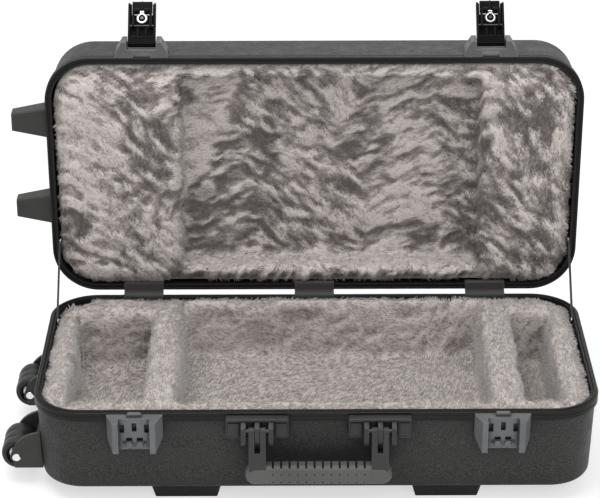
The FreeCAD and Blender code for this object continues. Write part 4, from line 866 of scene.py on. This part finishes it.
SILL_PATCHES = [(place, SILL_UP, SILL_ANGLE, SILL_DARK) for place in SILL_PLACES]
LID_READINGS = [
    lid_patch(x=85, y=78, angle=-40, dark=0.4),
    lid_patch(x=125, y=92, angle=-40, dark=0.6),
    lid_patch(x=158, y=78, angle=20, dark=0.5),
    lid_patch(x=205, y=76, angle=10, dark=0.35),
    lid_patch(x=262, y=80, angle=-45, dark=0.55),
    lid_patch(x=310, y=76, angle=-45, dark=0.45),
    lid_patch(x=70, y=130, angle=-30, dark=0.1),
    lid_patch(x=105, y=135, angle=-30, dark=0.15),
    lid_patch(x=148, y=138, angle=-60, dark=0.78),
    lid_patch(x=178, y=98, angle=20, dark=0.6),
    lid_patch(x=207, y=112, angle=10, dark=0.03),
    lid_patch(x=190, y=152, angle=15, dark=0.12),
    lid_patch(x=250, y=102, angle=-40, dark=0.7),
    lid_patch(x=302, y=107, angle=-38, dark=0.68),
    lid_patch(x=298, y=135, angle=-20, dark=0.28),
    lid_patch(x=225, y=143, angle=22, dark=0.7),
    lid_patch(x=257, y=154, angle=-30, dark=0.9),
    lid_patch(x=315, y=158, angle=-35, dark=0.45),
    lid_patch(x=62, y=188, angle=-30, dark=0.35),
    lid_patch(x=95, y=190, angle=-40, dark=0.22),
    lid_patch(x=130, y=180, angle=-45, dark=0.58),
    lid_patch(x=152, y=177, angle=-45, dark=0.8),
    lid_patch(x=170, y=190, angle=40, dark=0.3),
    lid_patch(x=198, y=182, angle=15, dark=0.85),
    lid_patch(x=226, y=176, angle=20, dark=0.6),
    lid_patch(x=248, y=192, angle=20, dark=0.9),
    lid_patch(x=264, y=186, angle=-45, dark=0.7),
    lid_patch(x=300, y=190, angle=-38, dark=0.42),
    lid_patch(x=64, y=225, angle=-60, dark=0.75),
    lid_patch(x=100, y=222, angle=-35, dark=0.12),
    lid_patch(x=142, y=226, angle=-60, dark=0.45),
    lid_patch(x=167, y=208, angle=60, dark=0.6),
    lid_patch(x=165, y=232, angle=-40, dark=0.2),
    lid_patch(x=203, y=218, angle=18, dark=0.9),
    lid_patch(x=228, y=223, angle=25, dark=0.7),
    lid_patch(x=255, y=240, angle=10, dark=0.68),
    lid_patch(x=279, y=228, angle=-50, dark=0.8),
    lid_patch(x=306, y=232, angle=-42, dark=0.48),
    lid_patch(x=85, y=258, angle=-20, dark=0.3),
    lid_patch(x=135, y=266, angle=-40, dark=0.45),
    lid_patch(x=215, y=247, angle=15, dark=0.85),
    lid_patch(x=340, y=85, angle=-55, dark=0.4),
    lid_patch(x=400, y=74, angle=25, dark=0.38),
    lid_patch(x=468, y=78, angle=0, dark=0.3),
    lid_patch(x=505, y=85, angle=-50, dark=0.25),
    lid_patch(x=543, y=85, angle=-55, dark=0.45),
    lid_patch(x=566, y=100, angle=-60, dark=0.2),
    lid_patch(x=367, y=112, angle=25, dark=0.7),
    lid_patch(x=402, y=108, angle=25, dark=0.42),
    lid_patch(x=466, y=104, angle=-40, dark=0.62),
    lid_patch(x=524, y=112, angle=-60, dark=0.65),
    lid_patch(x=365, y=146, angle=25, dark=0.66),
    lid_patch(x=420, y=144, angle=30, dark=0.28),
    lid_patch(x=458, y=122, angle=-35, dark=0.58),
    lid_patch(x=489, y=150, angle=-78, dark=0.6),
    lid_patch(x=507, y=145, angle=-60, dark=0.3),
    lid_patch(x=534, y=138, angle=-75, dark=0.58),
    lid_patch(x=568, y=145, angle=-80, dark=0.22),
    lid_patch(x=335, y=176, angle=-43, dark=0.6),
    lid_patch(x=385, y=168, angle=10, dark=0.5),
    lid_patch(x=392, y=192, angle=30, dark=0.15),
    lid_patch(x=424, y=170, angle=25, dark=0.42),
    lid_patch(x=455, y=180, angle=20, dark=0.75),
    lid_patch(x=482, y=182, angle=-45, dark=0.7),
    lid_patch(x=508, y=188, angle=-52, dark=0.46),
    lid_patch(x=548, y=186, angle=-68, dark=0.5),
    lid_patch(x=338, y=208, angle=-45, dark=0.4),
    lid_patch(x=412, y=216, angle=10, dark=0.58),
    lid_patch(x=430, y=205, angle=0, dark=0.12),
    lid_patch(x=462, y=208, angle=-42, dark=0.68),
    lid_patch(x=492, y=214, angle=-50, dark=0.55),
    lid_patch(x=524, y=220, angle=-35, dark=0.28),
    lid_patch(x=558, y=222, angle=-60, dark=0.55),
    lid_patch(x=340, y=242, angle=-35, dark=0.48),
    lid_patch(x=392, y=236, angle=30, dark=0.4),
    lid_patch(x=422, y=238, angle=10, dark=0.68),
    lid_patch(x=452, y=241, angle=20, dark=0.7),
    lid_patch(x=482, y=238, angle=-50, dark=0.78),
    lid_patch(x=508, y=250, angle=-45, dark=0.42),
    lid_patch(x=548, y=258, angle=-45, dark=0.42),
]
LID_PATCHES = in_bands(LID_READINGS + SILL_PATCHES)
BASE_PATCHES = [
    # where a patch is, in fractions of the base lining's width and depth,
    # then the angle of its strokes in degrees and its darkness
    (0.04, 0.45, 70, 0.22),
    (0.09, 0.90, 20, 0.2),
    (0.12, 0.45, 60, 0.3),
    (0.23, 0.60, 60, 0.15),
    (0.23, 0.20, 100, 0.2),
    (0.50, 0.05, 10, 0.1),
    (0.50, 0.45, 35, 0.35),
    (0.50, 0.95, 10, 0.25),
    (0.84, 0.60, 80, 0.15),
    (0.84, 0.20, 100, 0.2),
    (0.90, 0.45, 85, 0.3),
    (0.97, 0.45, 85, 0.22),
]
BASE_PADS = [
    "lining_floor", "lining_left", "lining_right", "lining_front", "lining_back",
    "divider_left", "divider_right", "rear_block_left", "rear_block_right",
]
LID_PADS = ["lid_lining_panel", "lid_lining_left", "lid_lining_right", "lid_lining_front", "lid_lining_rear"]
VOXEL = 6.5 * MM
CORNER = 51 * MM
EDGE = 9 * MM
RIM_PUSH = 3 * MM
RIM_DEPTH = 14 * MM
HIDDEN_EDGE = 5 * MM
HIDDEN_DEPTH = 7 * MM
SWELL_PRESSURE = 3
SWELL_MOST = 3.5 * MM
BACKING_DROP = 0.6 * MM
BLADES = 60000
BLADE_LENGTH = 7 * MM
BLADE_WIDTH = 1.1 * MM


def outline_of(members, u, v):
    """The corners of the box round some CAD nodes, seen along the third axis."""
    boxes = [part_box(member) for member in members]
    low = [min(box[0][axis] for box in boxes) for axis in (u, v)]
    high = [max(box[1][axis] for box in boxes) for axis in (u, v)]
    return low, high


def make_plush(name, members, patches, stroke, reach, tones, lit_top_tone, v_axis, open_axis, open_sign, body):
    """The lining of one half of the case as one swollen, crushed piece, and the pile on it."""
    piece = joined_copy(name, members)
    soften(piece, VOXEL)
    low, high = outline_of(members, 0, v_axis)
    crush = Crush(patches, low, high, reach, stroke, tones)
    face = max(open_sign * corner[open_axis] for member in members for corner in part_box(member))

    def below(points):
        return face - open_sign * points[:, open_axis]

    def edge(points):
        return inside(points[:, 0], points[:, v_axis], low, high, CORNER)

    def outward(points):
        step = np.eye(3) * 0.5 * MM
        way = np.zeros_like(points)
        for axis in (0, v_axis):
            way[:, axis] = (edge(points - step[axis]) - edge(points + step[axis])) / MM
        return way

    def hidden(points, normal):
        outer = (edge(points) < HIDDEN_EDGE) & (below(points) > HIDDEN_DEPTH)
        return outer | (open_sign * normal[:, open_axis] < -0.5)

    def tone(points, normal):
        near = np.clip(1 - edge(points) / EDGE, 0, 1)
        plain = crush.tone(points[:, 0], points[:, v_axis], below(points)) + 0.1 * near
        # painted light: surfaces that face up are lightened towards a set tone
        lit_top = np.clip(normal[:, 2] * 2 - 0.9, 0, 1)
        return np.clip(plain + 0.85 * lit_top * (lit_top_tone - plain), 0, 1)

    held = hidden(points_of(piece.data), normals_of(piece.data))
    swell(piece, held, SWELL_PRESSURE, SWELL_MOST)
    divide(piece)
    mesh = piece.data
    points = points_of(mesh)
    normal = normals_of(mesh)
    shown = ~hidden(points, normal)
    height = crush.height(points[:, 0], points[:, v_axis], below(points)) - BACKING_DROP
    rim = np.clip(1 - edge(points) / EDGE, 0, 1) * np.clip(1 - below(points) / RIM_DEPTH, 0, 1)
    spread_out = outward(points) * (RIM_PUSH * rim)[:, None]
    move_points(mesh, points + normal * (height * shown)[:, None] + spread_out)
    set_pile_tone(mesh, tone(points, normal))
    mesh.materials.append(plush_look())
    rng = np.random.default_rng(SEED + open_axis)

    def wanted(points, normal):
        return ~hidden(points, normal) * (1 + 2 * (edge(points) < EDGE))

    count = BLADES
    place, facing = scatter(mesh, count, wanted, rng)
    angle = crush.lean(place[:, 0], place[:, v_axis]) + rng.normal(0, 0.25, count)
    lean = np.zeros_like(place)
    lean[:, 0] = np.cos(angle)
    lean[:, v_axis] = np.sin(angle)
    near = np.clip(1 - edge(place) / EDGE, 0, 1)[:, None]
    lean += near * outward(place) * 1.6
    pile_name = name.replace("plush", "pile")
    pile = grow_pile(pile_name, place, facing, lean, tone(place, facing), BLADE_LENGTH, BLADE_WIDTH, rng)
    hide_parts(*members)
    for part in (piece, pile):
        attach(part, body)
        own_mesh(part)


def add_plush():
    """The lining of the lid and of the base."""
    make_plush(
        "lid_plush", LID_PADS, LID_PATCHES, stroke=(28 * MM, 8.5 * MM), reach=6 * MM,
        tones=(0.06, 0.88), lit_top_tone=1, v_axis=2, open_axis=1, open_sign=-1, body="lid",
    )
    make_plush(
        "base_plush", BASE_PADS, BASE_PATCHES, stroke=(30 * MM, 12 * MM), reach=15 * MM,
        tones=(0.38, 0.75), lit_top_tone=0.62, v_axis=1, open_axis=2, open_sign=1, body="base",
    )


# Cloth flaps over the hinges, and the lid stays
def make_strip(name, line, across, thickness, rows):
    """A strip of cloth that follows a line, with a width on both sides of it."""
    mesh = bpy.data.meshes.new(name)
    across = Vector(across)
    points = [place + across * (step / rows - 0.5) for place in line for step in range(rows + 1)]
    stride = rows + 1
    faces = [
        (first, first + 1, first + 1 + stride, first + stride)
        for row in range(len(line) - 1)
        for first in range(row * stride, row * stride + rows)
    ]
    mesh.from_pydata(points, [], faces)
    mesh.polygons.foreach_set("use_smooth", [True] * len(faces))
    piece = add_object(name, mesh)
    thick = piece.modifiers.new("thick", "SOLIDIFY")
    thick.thickness = thickness
    thick.offset = 0
    apply_modifiers(piece)
    return piece


def rounded_line(corners, radius, steps=6):
    """A line through corners, each rounded by a curve that starts and ends a radius away from it."""
    line = [corners[0]]
    for before, corner, after in zip(corners, corners[1:], corners[2:]):
        start = corner + (before - corner).normalized() * radius
        end = corner + (after - corner).normalized() * radius
        for step in range(steps + 1):
            t = step / steps
            line.append(start * (1 - t) ** 2 + corner * 2 * t * (1 - t) + end * t * t)
    line.append(corners[-1])
    return line


FLAP_THICKNESS = 1.1 * MM
FLAP_RIM = 2.4 * MM
FLAP_SLOPE = 4.5 * MM
FLAP_GAP = 1.0 * MM
FLAP_BEND = 1.4 * MM
STAY_WIDTH = 16 * MM
STAY_STEPS = 24
HINGE = Vector((0, 0.14225, 0.1375))


def add_flaps():
    """A black cloth flap over each hinge, from behind the base's plush to behind the lid's."""
    look = woven_look("flap_cloth", (0.0135, 0.013, 0.0125), 0.9 * MM, "XY")
    for end in ("left", "middle", "right"):
        low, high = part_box(f"hinge_flap_{end}")
        middle = (low.x + high.x) / 2
        skin = FLAP_THICKNESS / 2
        axis = Vector((middle, HINGE.y, HINGE.z))
        corners = [
            Vector((middle, low.y + skin, low.z)),
            Vector((middle, low.y + skin, axis.z + FLAP_RIM)),
            Vector((middle, axis.y - FLAP_SLOPE, axis.z + FLAP_RIM)),
            Vector((middle, axis.y - FLAP_GAP, axis.z + FLAP_SLOPE)),
            Vector((middle, axis.y - FLAP_GAP, high.z - skin)),
            Vector((middle, high.y, high.z - skin)),
        ]
        line = rounded_line(corners, FLAP_BEND)
        width = high.x - low.x
        flap = make_strip(f"hinge_flap_cloth_{end}", line, (width, 0, 0), FLAP_THICKNESS, rows=12)
        flap.data.materials.append(look)
        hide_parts(f"hinge_flap_{end}")
        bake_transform(flap)


def add_stays():
    """A webbing stay at each end of the case, drawn tight between its two rivets."""
    look = woven_look("stay_webbing", (0.012, 0.012, 0.012), 1.1 * MM, "YZ")
    for end in ("left", "right"):
        low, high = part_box(f"lid_stay_{end}")
        middle = (low.x + high.x) / 2
        width = STAY_WIDTH
        trim = width / 2 * math.sqrt(0.5)
        start = Vector((middle, low.y + trim, low.z + trim))
        finish = Vector((middle, high.y - trim, high.z - trim))
        line = [start.lerp(finish, step / STAY_STEPS) for step in range(STAY_STEPS + 1)]
        run = (finish - start).normalized()
        across = run.cross(Vector((1, 0, 0))) * width
        stay = make_strip(f"lid_stay_webbing_{end}", line, across, high.x - low.x, rows=6)
        stay.data.materials.append(look)
        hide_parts(f"lid_stay_{end}")
        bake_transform(stay)


add_camera()
add_studio()
dress_frame()
add_plush()
add_flaps()
add_stays()
